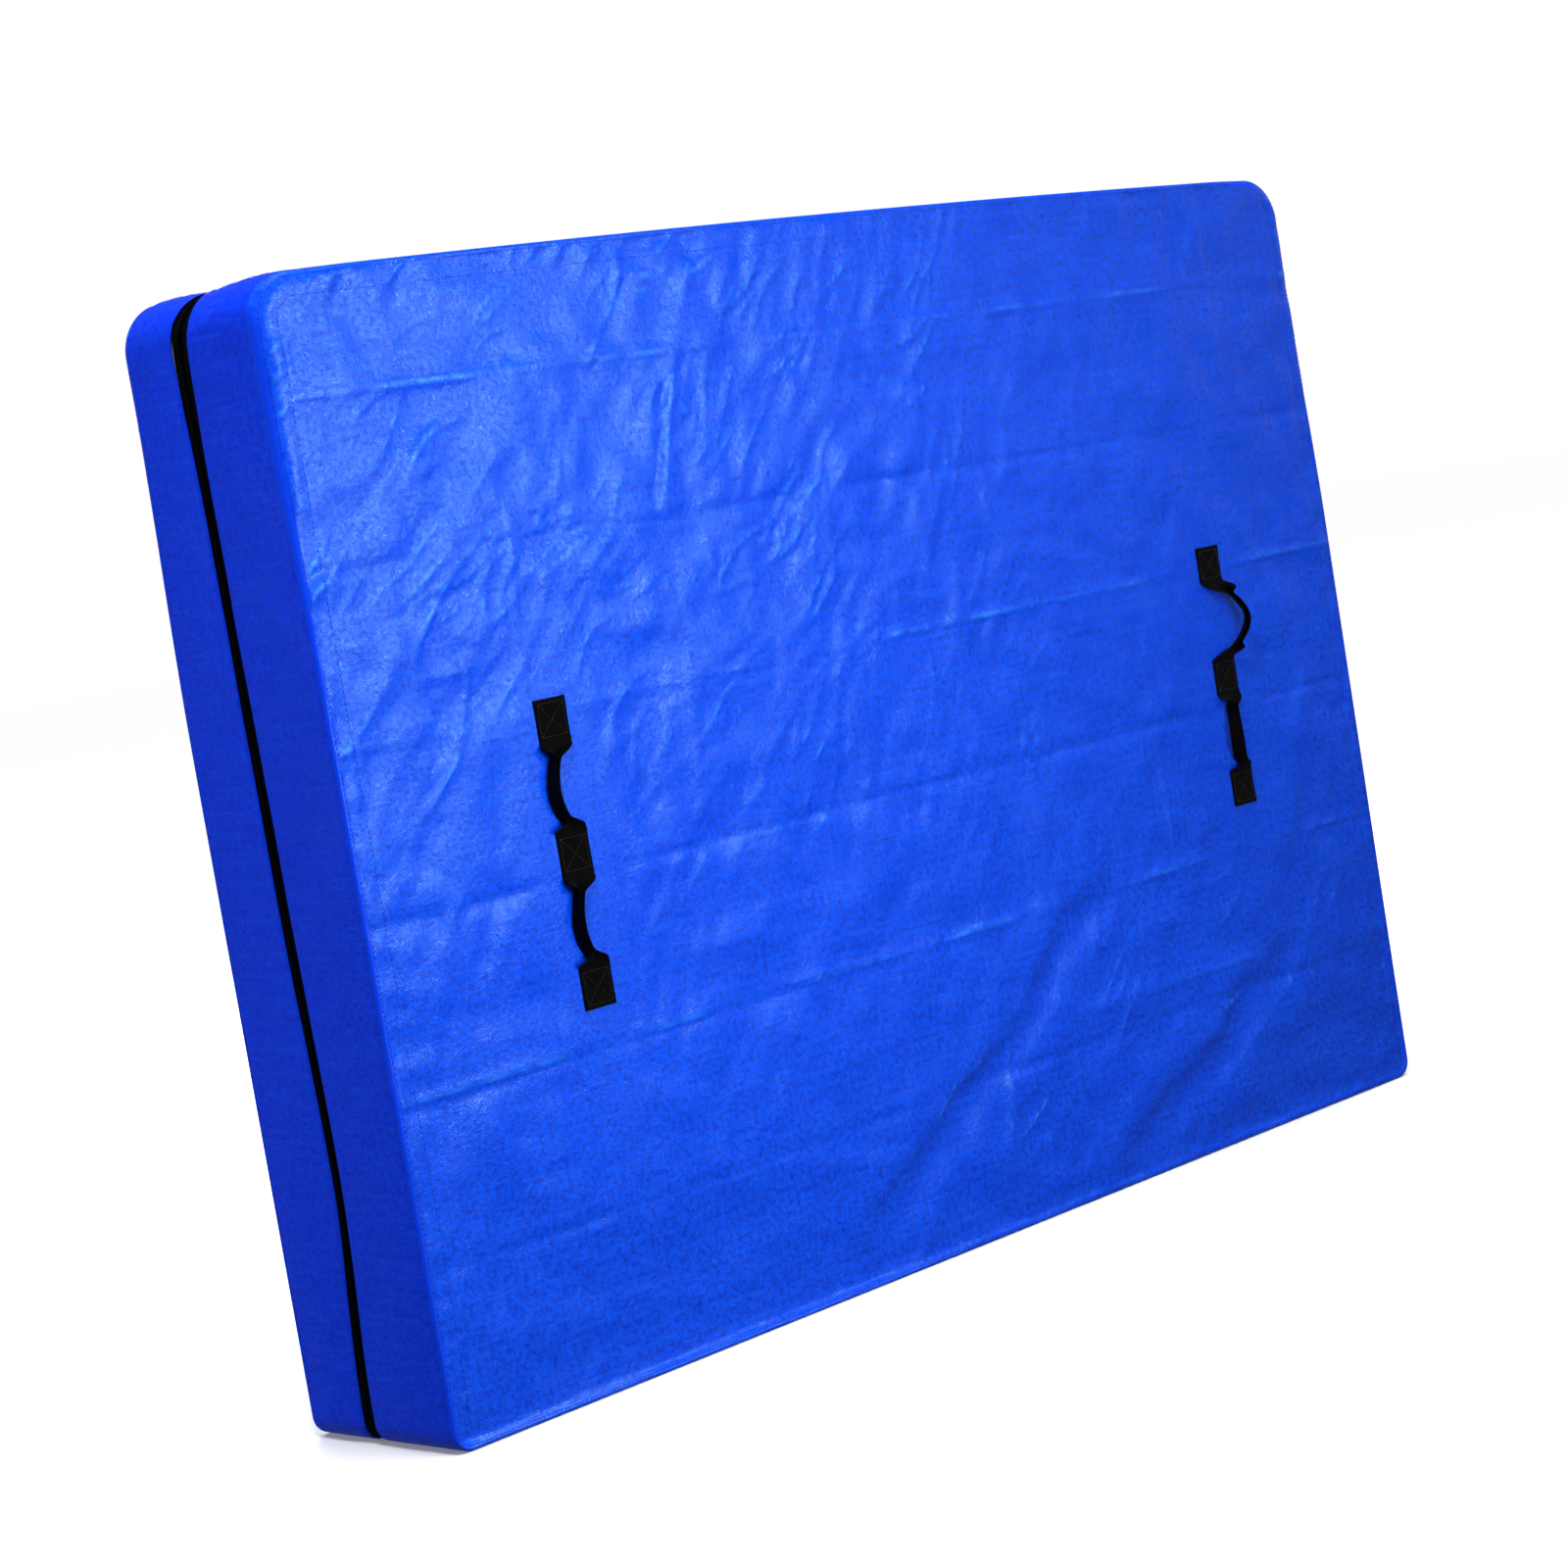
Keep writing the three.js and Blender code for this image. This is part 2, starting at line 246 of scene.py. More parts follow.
def walk(lengths, inset=0.0):
    """Points (x, z) and outward directions at these lengths along the outline."""
    legs = [
        (TOP_RUN, (RIGHT - TOP_RADIUS, HEIGHT), 90, 0),
        (TOP_TURN, (LEFT + TOP_RADIUS, HEIGHT - TOP_RADIUS), 90, TOP_RADIUS),
        (SIDE_RUN, (LEFT, HEIGHT - TOP_RADIUS), 180, 0),
        (BOTTOM_TURN, (LEFT + BOTTOM_RADIUS, BOTTOM_RADIUS), 180, BOTTOM_RADIUS),
        (BOTTOM_RUN, (LEFT + BOTTOM_RADIUS, 0), 270, 0),
        (BOTTOM_TURN, (RIGHT - BOTTOM_RADIUS, BOTTOM_RADIUS), 270, BOTTOM_RADIUS),
        (SIDE_RUN, (RIGHT, BOTTOM_RADIUS), 0, 0),
        (TOP_TURN, (RIGHT - TOP_RADIUS, HEIGHT - TOP_RADIUS), 0, TOP_RADIUS),
    ]
    x, z = np.zeros_like(lengths), np.zeros_like(lengths)
    nx, nz = np.zeros_like(lengths), np.zeros_like(lengths)
    start = 0.0
    for number, (length, (px, pz), degrees, radius) in enumerate(legs):
        last = number == len(legs) - 1
        here = (lengths >= start - 1e-9) & ((lengths < start + length - 1e-9) | last)
        past = lengths[here] - start
        angle = math.radians(degrees) + (past / radius if radius else 0 * past)
        cos, sin = np.cos(angle), np.sin(angle)
        forward = 0 * past if radius else past
        x[here] = px + radius * cos - forward * sin
        z[here] = pz + radius * sin + forward * cos
        nx[here], nz[here] = cos, sin
        start += length
    return x - inset * nx, z - inset * nz, nx, nz


def edge_radius(x, z):
    """The fold between panel and wall is softer near the upper corners."""
    near_end = 1 - smooth((RIGHT - np.abs(x)) / SOFT_REACH)
    upper = smooth((z - SOFT_FROM) / SOFT_SPAN)
    return SHARP_EDGE + (SOFT_EDGE - SHARP_EDGE) * near_end * upper


def swell(x, nz):
    """How far the walls' outer edges stand proud of the outline."""
    return TOP_BOW * np.maximum(nz, 0) * (1 - (x / RIGHT) ** 2)


# ---- how the cloth hangs: a coarse simulation of each big panel ----

SIM_CELL = 0.030
SIM_FRAMES = 32
SIM_SLACK = 0.011  # height of the bumps that give the sheet its spare length
CLOTH_RELIEF = 0.0030  # what the simulated folds are scaled to
CLOTH_SETTINGS = {
    "quality": 6,
    "mass": 0.2,
    "tension_stiffness": 20,
    "compression_stiffness": 20,
    "shear_stiffness": 6,
    "bending_stiffness": 0.4,
    "vertex_group_mass": "sewn",
}


def hung_cloth(seed):
    """A sheet with some slack, sewn down round its border, left to hang: its relief on a grid."""
    columns, rows = round(WIDTH / SIM_CELL) + 1, round(HEIGHT / SIM_CELL) + 1
    x, z = np.meshgrid(np.linspace(LEFT, RIGHT, columns), np.linspace(0, HEIGHT, rows))
    border = (x < LEFT + 1e-6) | (x > RIGHT - 1e-6) | (z < 1e-6) | (z > HEIGHT - 1e-6)
    bumps = SIM_SLACK * noise(x / 0.16 + seed, z / 0.19, seed) * ~border
    points = join(x, bumps, z)
    mesh = bpy.data.meshes.new("hanging")
    mesh.from_pydata(points.reshape(-1, 3).tolist(), [], grid_faces(rows, columns))
    cloth = link("hanging", mesh)
    sewn = cloth.vertex_groups.new(name="sewn")
    sewn.add(np.flatnonzero(border.ravel()).tolist(), 1.0, "REPLACE")
    modifier = cloth.modifiers.new("cloth", "CLOTH")
    for key, value in CLOTH_SETTINGS.items():
        setattr(modifier.settings, key, value)
    modifier.point_cache.frame_end = SIM_FRAMES
    scene = bpy.context.scene
    for step in range(1, SIM_FRAMES + 1):
        scene.frame_set(step)
    hung = cloth.evaluated_get(bpy.context.evaluated_depsgraph_get()).to_mesh()
    places = np.zeros(len(hung.vertices) * 3)
    hung.vertices.foreach_get("co", places)
    scene.frame_set(1)
    bpy.data.objects.remove(cloth)
    bpy.data.meshes.remove(mesh)
    relief = places.reshape(rows, columns, 3)[:, :, 1]
    return relief * CLOTH_RELIEF / np.percentile(np.abs(relief), 97)


def cloth_relief(grid, x, z):
    """The simulated relief between grid points, by a smooth spline."""
    rows, columns = grid.shape
    u = np.clip((x - LEFT) / WIDTH, 0, 1) * (columns - 1)
    v = np.clip(z / HEIGHT, 0, 1) * (rows - 1)
    column = np.clip(np.floor(u).astype(int), 0, columns - 2)
    row = np.clip(np.floor(v).astype(int), 0, rows - 2)

    def weights(t):
        return (
            (1 - t) ** 3 / 6,
            (3 * t**3 - 6 * t**2 + 4) / 6,
            (-3 * t**3 + 3 * t**2 + 3 * t + 1) / 6,
            t**3 / 6,
        )

    total = 0 * u
    for i, across in enumerate(weights(u - column)):
        for j, up in enumerate(weights(v - row)):
            near_row = np.clip(row + j - 1, 0, rows - 1)
            near_column = np.clip(column + i - 1, 0, columns - 1)
            total = total + across * up * grid[near_row, near_column]
    return total


# ---- relief of the two big panels: how far the tarpaulin stands out from the flat face ----

CALM_WIDTH = 0.075  # the panel lies calm this far to the side of a handle, and above and below
CALM_HEIGHT = 0.24
CALM_CORE = 0.75  # the calm starts to fade at this share of that distance, over as much again
FIRST_LEVEL = 0.143  # top of the cover to the first level crease
FIRST_UPRIGHT = 0.334  # middle of the cover to an upright crease on its left
UPRIGHT_LEAN = 0.10  # sideways shift of the left ones for each metre below the top
BAND_TILT = 0.0030  # how far the cloth between two level creases stands out or in
LEVEL_CREASE = (0.0034, 0.0046)  # height and width
UPRIGHT_CREASE = (0.0018, 0.0055)
PUCKER = 0.0011  # height of the hem's pinches, and depth of its stitch line


def middle_of(name):
    """(x, z) of a CAD node's middle."""
    low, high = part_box(name)
    return (low.x + high.x) / 2, (low.z + high.z) / 2


def near_handles(x, z, face):
    """1 over a face's two handles, 0 away from them."""
    total = np.zeros(x.shape)
    for side in ("left", "right"):
        middle_x, middle_z = middle_of(f"{face}_{side}_patch_middle")
        away = np.hypot((x - middle_x) / CALM_WIDTH, (z - middle_z) / CALM_HEIGHT)
        total = np.maximum(total, 1 - smooth((away - CALM_CORE) / CALM_CORE))
    return total


def packing_folds(x, z, layer):
    """The grid of creases that the cover was folded on, each band between them tilted a little."""
    level = (HEIGHT - FIRST_LEVEL - z) / PACKING_FOLD + 0.012 * noise(x / 0.3, z / 0.3, layer)
    upright = (x + FIRST_UPRIGHT + UPRIGHT_LEAN * (HEIGHT - z) * (x < 0)) / UPRIGHT_FOLD
    band = np.floor(level)
    share = level - band
    tilt = noise(x / 0.8, band * 0.77 + 3.1, layer + 1)
    relief = BAND_TILT * tilt * np.sin(math.pi * share)
    away = np.minimum(share, 1 - share) * PACKING_FOLD
    number = np.round(level)
    strength = 0.35 + 0.65 * smooth(0.45 + 1.5 * noise(x / 0.13, number * 1.37, layer + 2))
    sign = np.where(number % 2 == 0, 1.0, -1.0)
    relief += LEVEL_CREASE[0] * sign * strength * np.exp(-away / LEVEL_CREASE[1])
    column = np.floor(upright)
    share = upright - column
    away = np.minimum(share, 1 - share) * UPRIGHT_FOLD
    strength = smooth(0.2 + 1.6 * noise(z / 0.22, np.round(upright) * 1.91, layer + 3))
    relief += UPRIGHT_CREASE[0] * strength * np.exp(-away / UPRIGHT_CREASE[1])
    relief += 0.0012 * noise(x / 0.5 + column * 0.6, z / 0.9, layer + 1)
    return relief


def diagonal_wrinkles(x, z, layer, degrees, long, short, height):
    """Wrinkles that run one way: soft swells with sharp, broken ridges on them."""
    cos, sin = math.cos(math.radians(degrees)), math.sin(math.radians(degrees))
    along, across = x * cos + z * sin, -x * sin + z * cos
    bend = 0.7 * noise(along / (1.3 * long), across / (4 * short), layer + 1)
    swell_height = noise(along / long, across / (1.5 * short) + bend, layer)
    ridge = 1 - np.abs(noise(along / (0.9 * long), across / short + bend, layer + 2))
    patchy = smooth(0.25 + 1.5 * noise(along / 0.16, across / 0.09, layer + 1))
    return height * (0.7 * swell_height + 1.2 * patchy * (ridge**8 - 0.2))


def crumple(x, z, seed, count, pitch, height):
    """Faint straight creases in many directions, as in a sheet that was crushed and spread out."""
    draw = np.random.default_rng(seed)
    relief = np.zeros(x.shape)
    for number in range(count):
        angle = draw.uniform(0, math.pi)
        size = pitch * draw.uniform(0.6, 1.6)
        start = draw.uniform(0, 10)
        along = (x * math.cos(angle) + z * math.sin(angle)) / size + start
        along = along + 0.3 * noise(x / 0.35 + start, z / 0.35, number % NOISE_LAYERS)
        fold = np.abs(along % 1 - 0.5) * 2 - 0.5
        patches = noise(x / 0.18 + start, z / 0.18 + start, (number + 5) % NOISE_LAYERS)
        mask = smooth(0.1 + 1.5 * patches)
        relief += height * fold * mask
    return relief


def hem_puckers(depth, along, upright, layer):
    """Small pinches between the two stitch lines of the hem."""
    wave = noise(along / 0.016, depth / 0.05, layer) * 0.6
    wave = wave + noise(along / 0.035, 0 * depth, layer + 1)
    here = smooth(depth / 0.008) * (1 - smooth((depth - HEM_WIDTH) / 0.022))
    stitched = bell(depth - HEM_WIDTH, 0.003)
    return (PUCKER * wave * here - PUCKER * stitched) * (0.25 + 0.75 * upright)


# Creases of a crushed sheet: how many directions, the distance between creases, and their height.
CRUMPLES = ((7, 0.26, 0.0026), (9, 0.10, 0.0018), (9, 0.045, 0.0008))
# Single creases of the front: their points (x, z), width and height, negative for a valley.
FRONT_CREASES = (
    ([(-0.27, 1.345), (-0.288, 1.318), (-0.334, 1.21)], 0.007, 0.0075),
    ([(-0.325, 1.23), (-0.36, 1.13), (-0.39, 1.02)], 0.008, 0.0065),
    ([(-0.345, 1.20), (-0.40, 1.04)], 0.008, -0.0036),
    ([(-0.765, 1.17), (-0.82, 1.11), (-0.88, 1.035)], 0.0060, 0.0015),
    ([(-0.54, 1.13), (-0.565, 1.05)], 0.006, 0.0015),
    ([(-0.93, 0.955), (-0.80, 0.966)], 0.006, -0.0009),
    ([(-0.935, 0.832), (-0.84, 0.828), (-0.70, 0.834)], 0.006, -0.0011),
    ([(-0.935, 0.628), (-0.83, 0.612), (-0.64, 0.621)], 0.006, -0.0014),
    ([(-0.80, 0.64), (-0.835, 0.605)], 0.005, 0.0028),
    ([(-0.94, 0.838), (-0.905, 0.836), (-0.875, 0.840)], 0.0045, 0.0012),
    ([(-0.86, 0.842), (-0.83, 0.841), (-0.79, 0.846)], 0.0045, 0.0012),
    ([(-0.94, 1.030), (-0.88, 1.034), (-0.82, 1.038)], 0.0045, 0.0011),
    ([(-0.94, 0.945), (-0.90, 0.948), (-0.855, 0.955)], 0.0045, 0.0012),
    ([(-0.70, 1.22), (-0.735, 1.16), (-0.75, 1.12)], 0.0045, 0.0012),
    ([(-0.62, 1.045), (-0.66, 0.985), (-0.675, 0.93)], 0.0050, 0.0013),
    ([(0.13, 1.045), (0.055, 0.88)], 0.010, 0.0026),
    ([(0.081, 0.26), (0.043, 0.09)], 0.010, 0.0028),
    ([(0.20, 0.26), (0.66, 0.258)], 0.007, 0.0020),
    ([(-0.93, 0.405), (-0.60, 0.412), (-0.14, 0.408)], 0.008, -0.0030),
    ([(-0.922, 0.060), (-0.931, 0.004)], 0.005, -0.0050),
)
# The two slack folds towards the front's lower right.
SLACK_FOLDS = (
    [(0.37, 0.44), (0.22, 0.39), (0.106, 0.28), (-0.015, 0.222), (-0.27, 0.04)],
    [(0.735, 0.27), (0.586, 0.217), (0.523, 0.159), (0.388, 0.107), (0.25, 0.024)],
)
# Each is a valley with a ridge above it: how far it lies from the fold's line, width and height.
SLACK_PARTS = (((0.012, -0.014), 0.030, -0.0072), ((-0.020, 0.024), 0.032, 0.0042))
REAR_FOLD = [(-0.50, 0.52), (-0.34, 0.36), (-0.22, 0.21), (-0.16, 0.03)]
REAR_CREASE = [(0.62, 1.30), (0.50, 1.14), (0.44, 0.98)]


def shared_relief(x, z, layer, seed, face):
    """What both panels have: slack, and the fine relief of folds, crumples and hems."""
    depth, nx, _ = outline_frame(x, z)
    slack = cloth_relief(HUNG[face], x, z) - 0.0010 * smooth((depth - 0.03) / 0.2)
    slack += 0.0020 * noise(x / 0.085, z / 0.075, layer + 4) * smooth(depth / 0.06)
    fine = packing_folds(x, z, layer)
    for step, (count, pitch, height) in enumerate(CRUMPLES):
        fine += crumple(x, z, seed + step, count, pitch, height)
    fine += 0.0004 * noise(x / 0.034, z / 0.030, layer + 3)
    fine += 0.00016 * noise(x / 0.017, z / 0.016, layer)
    fine += hem_puckers(depth, np.where(np.abs(nx) > 0.7, z, x), np.abs(nx), layer)
    return slack, fine


def front_relief(x, z):
    """How far the front panel stands out; the large creases are placed as in the photo."""
    slack, fine = shared_relief(x, z, 0, 7, "front")
    # cloudy wrinkles over the upper left, steeper towards the middle
    upper_left = smooth((z - 0.45) / 0.55) * (1 - smooth((x + 0.35) / 0.9))
    fine += upper_left * diagonal_wrinkles(x, z, 4, 42, 0.20, 0.050, 0.0030)
    fine += upper_left * diagonal_wrinkles(x, z, 9, 33, 0.10, 0.026, 0.0020)
    steep = smooth((z - 0.35) / 0.4) * (1 - smooth((np.abs(x + 0.15) - 0.25) / 0.4))
    fine += steep * diagonal_wrinkles(x, z, 6, 60, 0.15, 0.038, 0.0014)
    lower = (1 - smooth((z - 0.2) / 0.5)) * smooth((x + 0.6) / 0.7)
    fine += lower * diagonal_wrinkles(x, z, 8, 36, 0.24, 0.060, 0.0018)
    for points, width, height in FRONT_CREASES:
        fine += crease(x, z, points, width, height)
    for fold in SLACK_FOLDS:
        for (right, up), width, height in SLACK_PARTS:
            points = [(a + right, b + up) for a, b in fold]
            slack += crease(x, z, points, width, height, soft=True)
    # the panel turns in below the lowest level creases, and bellies out between them
    to_right = smooth((x + 0.1) / 0.6)
    slack += 0.0030 * bell(z - 0.30, 0.09) * (1 - to_right)
    slack -= 0.0075 * smooth((0.236 - z) / 0.21) * (1 - 0.5 * to_right)
    return limited(slack, fine, near_handles(x, z, "front"))


def rear_relief(x, z):
    """The same for the rear panel, which the photo doesn't show."""
    slack, fine = shared_relief(x, z, 5, 19, "rear")
    upper = smooth((z - 0.4) / 0.6)
    fine += upper * diagonal_wrinkles(x, z, 3, 125, 0.22, 0.055, 0.0020)
    lower = (1 - smooth((z - 0.2) / 0.6)) * (1 - smooth((x + 0.1) / 0.8))
    fine += lower * diagonal_wrinkles(x, z, 7, 145, 0.25, 0.060, 0.0020)
    slack += crease(x, z, REAR_FOLD, 0.045, -0.0055, soft=True)
    fine += crease(x, z, REAR_CREASE, 0.012, 0.0035)
    return limited(slack, fine, near_handles(x, z, "rear"))


def limited(slack, fine, calm):
    """Keeps the sheet off the slab and off the hand loops."""
    total = 0 * slack
    for relief, (inward, outward) in ((slack, BROAD_RELIEF), (fine, FINE_RELIEF)):
        most = np.where(relief > 0, outward, inward)
        total = total + most * np.tanh(relief * (1 - 0.9 * calm) / most)
    return total


HUNG = {"front": hung_cloth(3), "rear": hung_cloth(8)}
RELIEF = {"front": front_relief, "rear": rear_relief}
SIDE = {"front": -1, "rear": 1}


def panel_points(face, x, z):
    """Points on a big panel, its rounded edge included."""
    depth, nx, nz = outline_frame(x, z)
    radius = edge_radius(x, z)
    turn = radius - np.sqrt(np.maximum(radius**2 - np.maximum(radius - depth, 0) ** 2, 0))
    inner = smooth((depth - 0.001) / 0.012)
    out = RELIEF[face](x, z) * inner - turn
    proud = swell(x, nz) * (1 - smooth(depth / 0.10))
    y = SIDE[face] * (HALF_DEPTH + out)
    return join(x + proud * nx, y, z + proud * nz)


# ---- meshes ----


def add_mesh(name, points, faces, material, uv=None):
    """A smooth-shaded object; uv holds flat places in metres, one for each point."""
    points = np.asarray(points, float).reshape(-1, 3)
    mesh = bpy.data.meshes.new(name)
    mesh.from_pydata(points.tolist(), [], [tuple(f) for f in faces])
    if uv is not None:
        layer = mesh.uv_layers.new(name="weave")
        corners = np.zeros(len(mesh.loops), int)
        mesh.loops.foreach_get("vertex_index", corners)
        flat = np.asarray(uv, float).reshape(-1, 2)[corners]
        layer.data.foreach_set("uv", flat.ravel())
    mesh.polygons.foreach_set("use_smooth", [True] * len(mesh.polygons))
    mesh.materials.append(material)
    return link(name, mesh)


EDGE_LINES = np.array([0, 0.0006, 0.0016, 0.003, 0.005, 0.0075, 0.0105, 0.014, 0.0185, 0.024])


def lines_across(length, cell):
    """Places from 0 to length, close together near both ends where the edge is rounded."""
    middle = np.linspace(EDGE_LINES[-1], length - EDGE_LINES[-1], round(length / cell))
    return np.concatenate([EDGE_LINES, middle[1:-1], length - EDGE_LINES[::-1]])


def scatter(name, shape, places, axes, material):
    """One mesh holding a copy of a small shape at each place; axes are each copy's own x, y, z."""
    points, faces = shape
    placed = places[:, None, :] + np.einsum("pk,nkj->npj", points, axes)
    all_faces = []
    for copy in range(len(places)):
        start = copy * len(points)
        all_faces += [[start + i for i in f] for f in faces]
    return add_mesh(name, placed, all_faces, material)


def lozenge(stations, sides):
    """A closed solid along x through elliptic rings, each (x, half width y, half width z, z)."""
    points = []
    for x, wide, high, lift in stations:
        for side in range(sides):
            angle = 2 * math.pi * side / sides
            points.append((x, wide * math.cos(angle), lift + high * math.sin(angle)))
    return np.array(points), tube_faces(len(stations), sides, flip=True)


def stitch_shape(length, radius):
    """One stitch, thickest in the middle, its ends sunk into the cloth."""
    half = length / 2
    ends = [(-half, 0.35), (-0.36 * length, 0.95), (0, 1.1), (0.36 * length, 0.95), (half, 0.35)]
    return lozenge([(x, radius * r, radius * r, radius * (r - 0.6)) for x, r in ends], 5)


def run_axes(points, outward):
    """Each point's own axes: along the run, sideways, and outward."""
    along = unit(np.gradient(points, axis=0))
    outward = unit(outward - np.sum(outward * along, axis=1)[:, None] * along)
    return np.stack([along, np.cross(outward, along), outward], axis=1)


def stitch_line(name, points, outward, body):
    """Blue stitches centred on a run of points, each turned along the run."""
    shape = stitch_shape(STITCH_LENGTH, STITCH_RADIUS)
    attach(scatter(name, shape, points, run_axes(points, outward), BLUE_THREAD), body)


# ---- materials ----


class Nodes:
    """A material's node tree, built by short calls."""

    def __init__(self, name):
        self.material = bpy.data.materials.new(name)
        self.material.use_nodes = True
        self.tree = self.material.node_tree
        self.shader = self.tree.nodes["Principled BSDF"]

    def add(self, kind, inputs=None, **settings):
        node = self.tree.nodes.new("ShaderNode" + kind)
        for key, value in settings.items():
            setattr(node, key, value)
        for key, value in (inputs or {}).items():
            self.put(node.inputs[key], value)
        return node

    def put(self, socket, value):
        if isinstance(value, bpy.types.NodeSocket):
            self.tree.links.new(value, socket)
        else:
            socket.default_value = value

    def set(self, **inputs):
        for key, value in inputs.items():
            self.put(self.shader.inputs[key.replace("_", " ")], value)

    def math(self, operation, a, b=0.0):
        node = self.add("Math", operation=operation)
        self.put(node.inputs[0], a)
        self.put(node.inputs[1], b)
        return node.outputs[0]

    def span(self, value, low, high, from_low=0.0, from_high=1.0):
        limits = {"From Min": from_low, "From Max": from_high, "To Min": low, "To Max": high}
        return self.add("MapRange", {"Value": value, **limits}).outputs["Result"]

    def mix(self, share, a, b):
        node = self.add("Mix", data_type="RGBA")
        self.put(node.inputs[0], share)
        self.put(node.inputs[6], a)
        self.put(node.inputs[7], b)
        return node.outputs[2]

    def uv(self):
        return self.add("UVMap", uv_map="weave").outputs["UV"]

    def place(self):
        return self.add("TexCoord").outputs["Object"]

    def scaled(self, vector, scale, rotation=(0, 0, 0)):
        inputs = {"Vector": vector, "Scale": scale, "Rotation": rotation}
        return self.add("Mapping", inputs).outputs["Vector"]

    def noise(self, vector, scale, detail=3.0, rough=0.55):
        inputs = {"Vector": vector, "Scale": scale, "Detail": detail, "Roughness": rough}
        return self.add("TexNoise", inputs).outputs["Fac"]

    def wave(self, vector, scale, direction):
        inputs = {"Vector": vector, "Scale": scale, "Distortion": 0.0}
        node = self.add("TexWave", inputs, wave_type="BANDS", bands_direction=direction)
        return node.outputs["Fac"]

    def bump(self, height, distance, strength=1.0, normal=None):
        node = self.add("Bump", {"Height": height, "Distance": distance, "Strength": strength})
        if normal is not None:
            self.put(node.inputs["Normal"], normal)
        return node.outputs["Normal"]


def tapes(nodes, vector, pitch):
    """Plain weave of flat tapes: raised where one set or the other lies on top."""
    waves = 2 * math.pi / (20 * pitch)  # a wave texture's bands are 2 pi / (20 scale) apart
    across = nodes.wave(vector, waves, "X")
    upward = nodes.wave(vector, waves, "Y")
    over = nodes.add("TexChecker", {"Vector": vector, "Scale": 1 / pitch}).outputs["Fac"]
    node = nodes.add("Mix", data_type="FLOAT")
    nodes.put(node.inputs[0], over)
    nodes.put(node.inputs[2], across)
    nodes.put(node.inputs[3], upward)
    return node.outputs[0]


# Pale blue for crease ridges: partly stress whitening, partly a painted highlight
CREASE_WEAR_AND_HIGHLIGHT_BLUE = (0.030, 0.24, 1.0, 1)
GLOSS_TINT = (0.50, 1.0, 0.85, 1)
TAPE_PITCH = 0.0026  # the tarpaulin's woven tapes, and the zip tape's threads
THREAD_PITCH = 0.0007


def tarpaulin_material(name, deep, light, grain, worn, turned_edge_shade=None):
    """Glossy woven polyethylene: tape weave, cloudy colour, scuffed streaks along the tapes, crease
    ridges turned pale partly by stress whitening and partly as a painted highlight, and painted shade
    on the strip where a panel turns to its wall.
    """
    nodes = Nodes(name)
    uv = nodes.uv()
    broad = nodes.noise(uv, 2.3, 3.0)
    fine = nodes.noise(uv, 130.0, 4.0, 0.65)
    upright = nodes.noise(nodes.scaled(uv, (260.0, 22.0, 1.0)), 1.0, 2.0)
    streak = nodes.noise(nodes.scaled(uv, (9.0, 160.0, 1.0)), 1.0, 2.0)
    weave = tapes(nodes, uv, TAPE_PITCH)
    base = nodes.mix(nodes.span(broad, 0, 1, 0.3, 0.7), deep, light)
    base = nodes.mix(nodes.span(fine, 0, 1, 0.44, 0.62), base, grain)
    base = nodes.mix(nodes.span(upright, 0, 0.45, 0.42, 0.70), base, grain)
    base = nodes.mix(nodes.span(weave, 0.22, 0.0), base, grain)
    base = nodes.mix(nodes.span(streak, 0, 0.35, 0.5, 0.8), base, worn)
    # Crease ridges are mixed towards pale blue: partly stress whitening, partly a painted highlight
    creased = nodes.add("Attribute", attribute_name="crease_wear_and_highlight").outputs["Fac"]
    broken = nodes.span(nodes.noise(uv, 38.0, 3.0), 0.15, 0.75, 0.4, 0.65)
    base = nodes.mix(nodes.math("MULTIPLY", creased, broken), base, CREASE_WEAR_AND_HIGHLIGHT_BLUE)
    # Painted shade: the strip where a panel turns towards its wall gets the wall's deeper blue
    if turned_edge_shade is not None:
        sideways = nodes.add("SeparateXYZ", {"Vector": uv}).outputs["X"]
        sideways = nodes.math("ABSOLUTE", sideways)
        past = nodes.span(sideways, 0, 1, RIGHT - 0.008, RIGHT - 0.003)
        base = nodes.mix(past, base, turned_edge_shade)
    rough = nodes.span(nodes.noise(uv, 14.0, 4.0), 0.20, 0.31, 0.3, 0.7)
    rough = nodes.math("ADD", rough, nodes.span(fine, 0.0, 0.14, 0.40, 0.62))
    rough = nodes.math("ADD", rough, nodes.span(weave, 0.05, 0.0))
    bump = nodes.bump(nodes.noise(uv, 48.0, 4.0, 0.6), 0.0009, 0.55)
    bump = nodes.bump(nodes.noise(uv, 190.0, 3.0, 0.6), 0.0008, 0.75, bump)
    bump = nodes.bump(weave, 0.00012, 0.9, bump)
    nodes.set(Base_Color=base, Roughness=rough, Normal=bump)
    nodes.set(Specular_IOR_Level=0.36, Specular_Tint=GLOSS_TINT)
    return nodes.material


def webbing_material():
    nodes = Nodes("webbing")
    uv = nodes.uv()
    ribs, cross = (
        nodes.wave(nodes.scaled(uv, (1, 1, 1), (0, 0, math.radians(angle))), 210.0, "Y")
        for angle in (28, -28)
    )
    weave = nodes.math("MULTIPLY", ribs, cross)
    dust = nodes.noise(uv, 35.0, 4.0)
    base = nodes.mix(weave, (0.0004, 0.0004, 0.0005, 1), (0.0020, 0.0020, 0.0024, 1))
    base = nodes.mix(nodes.span(dust, 0, 0.5, 0.5, 0.8), base, (0.0045, 0.0045, 0.0044, 1))
    nodes.set(Base_Color=base, Roughness=nodes.span(dust, 0.55, 0.85, 0.3, 0.7))
    nodes.set(Normal=nodes.bump(weave, 0.00045, 0.9), Specular_IOR_Level=0.07, Sheen_Weight=0.01)
    nodes.set(Sheen_Roughness=0.4)
    return nodes.material


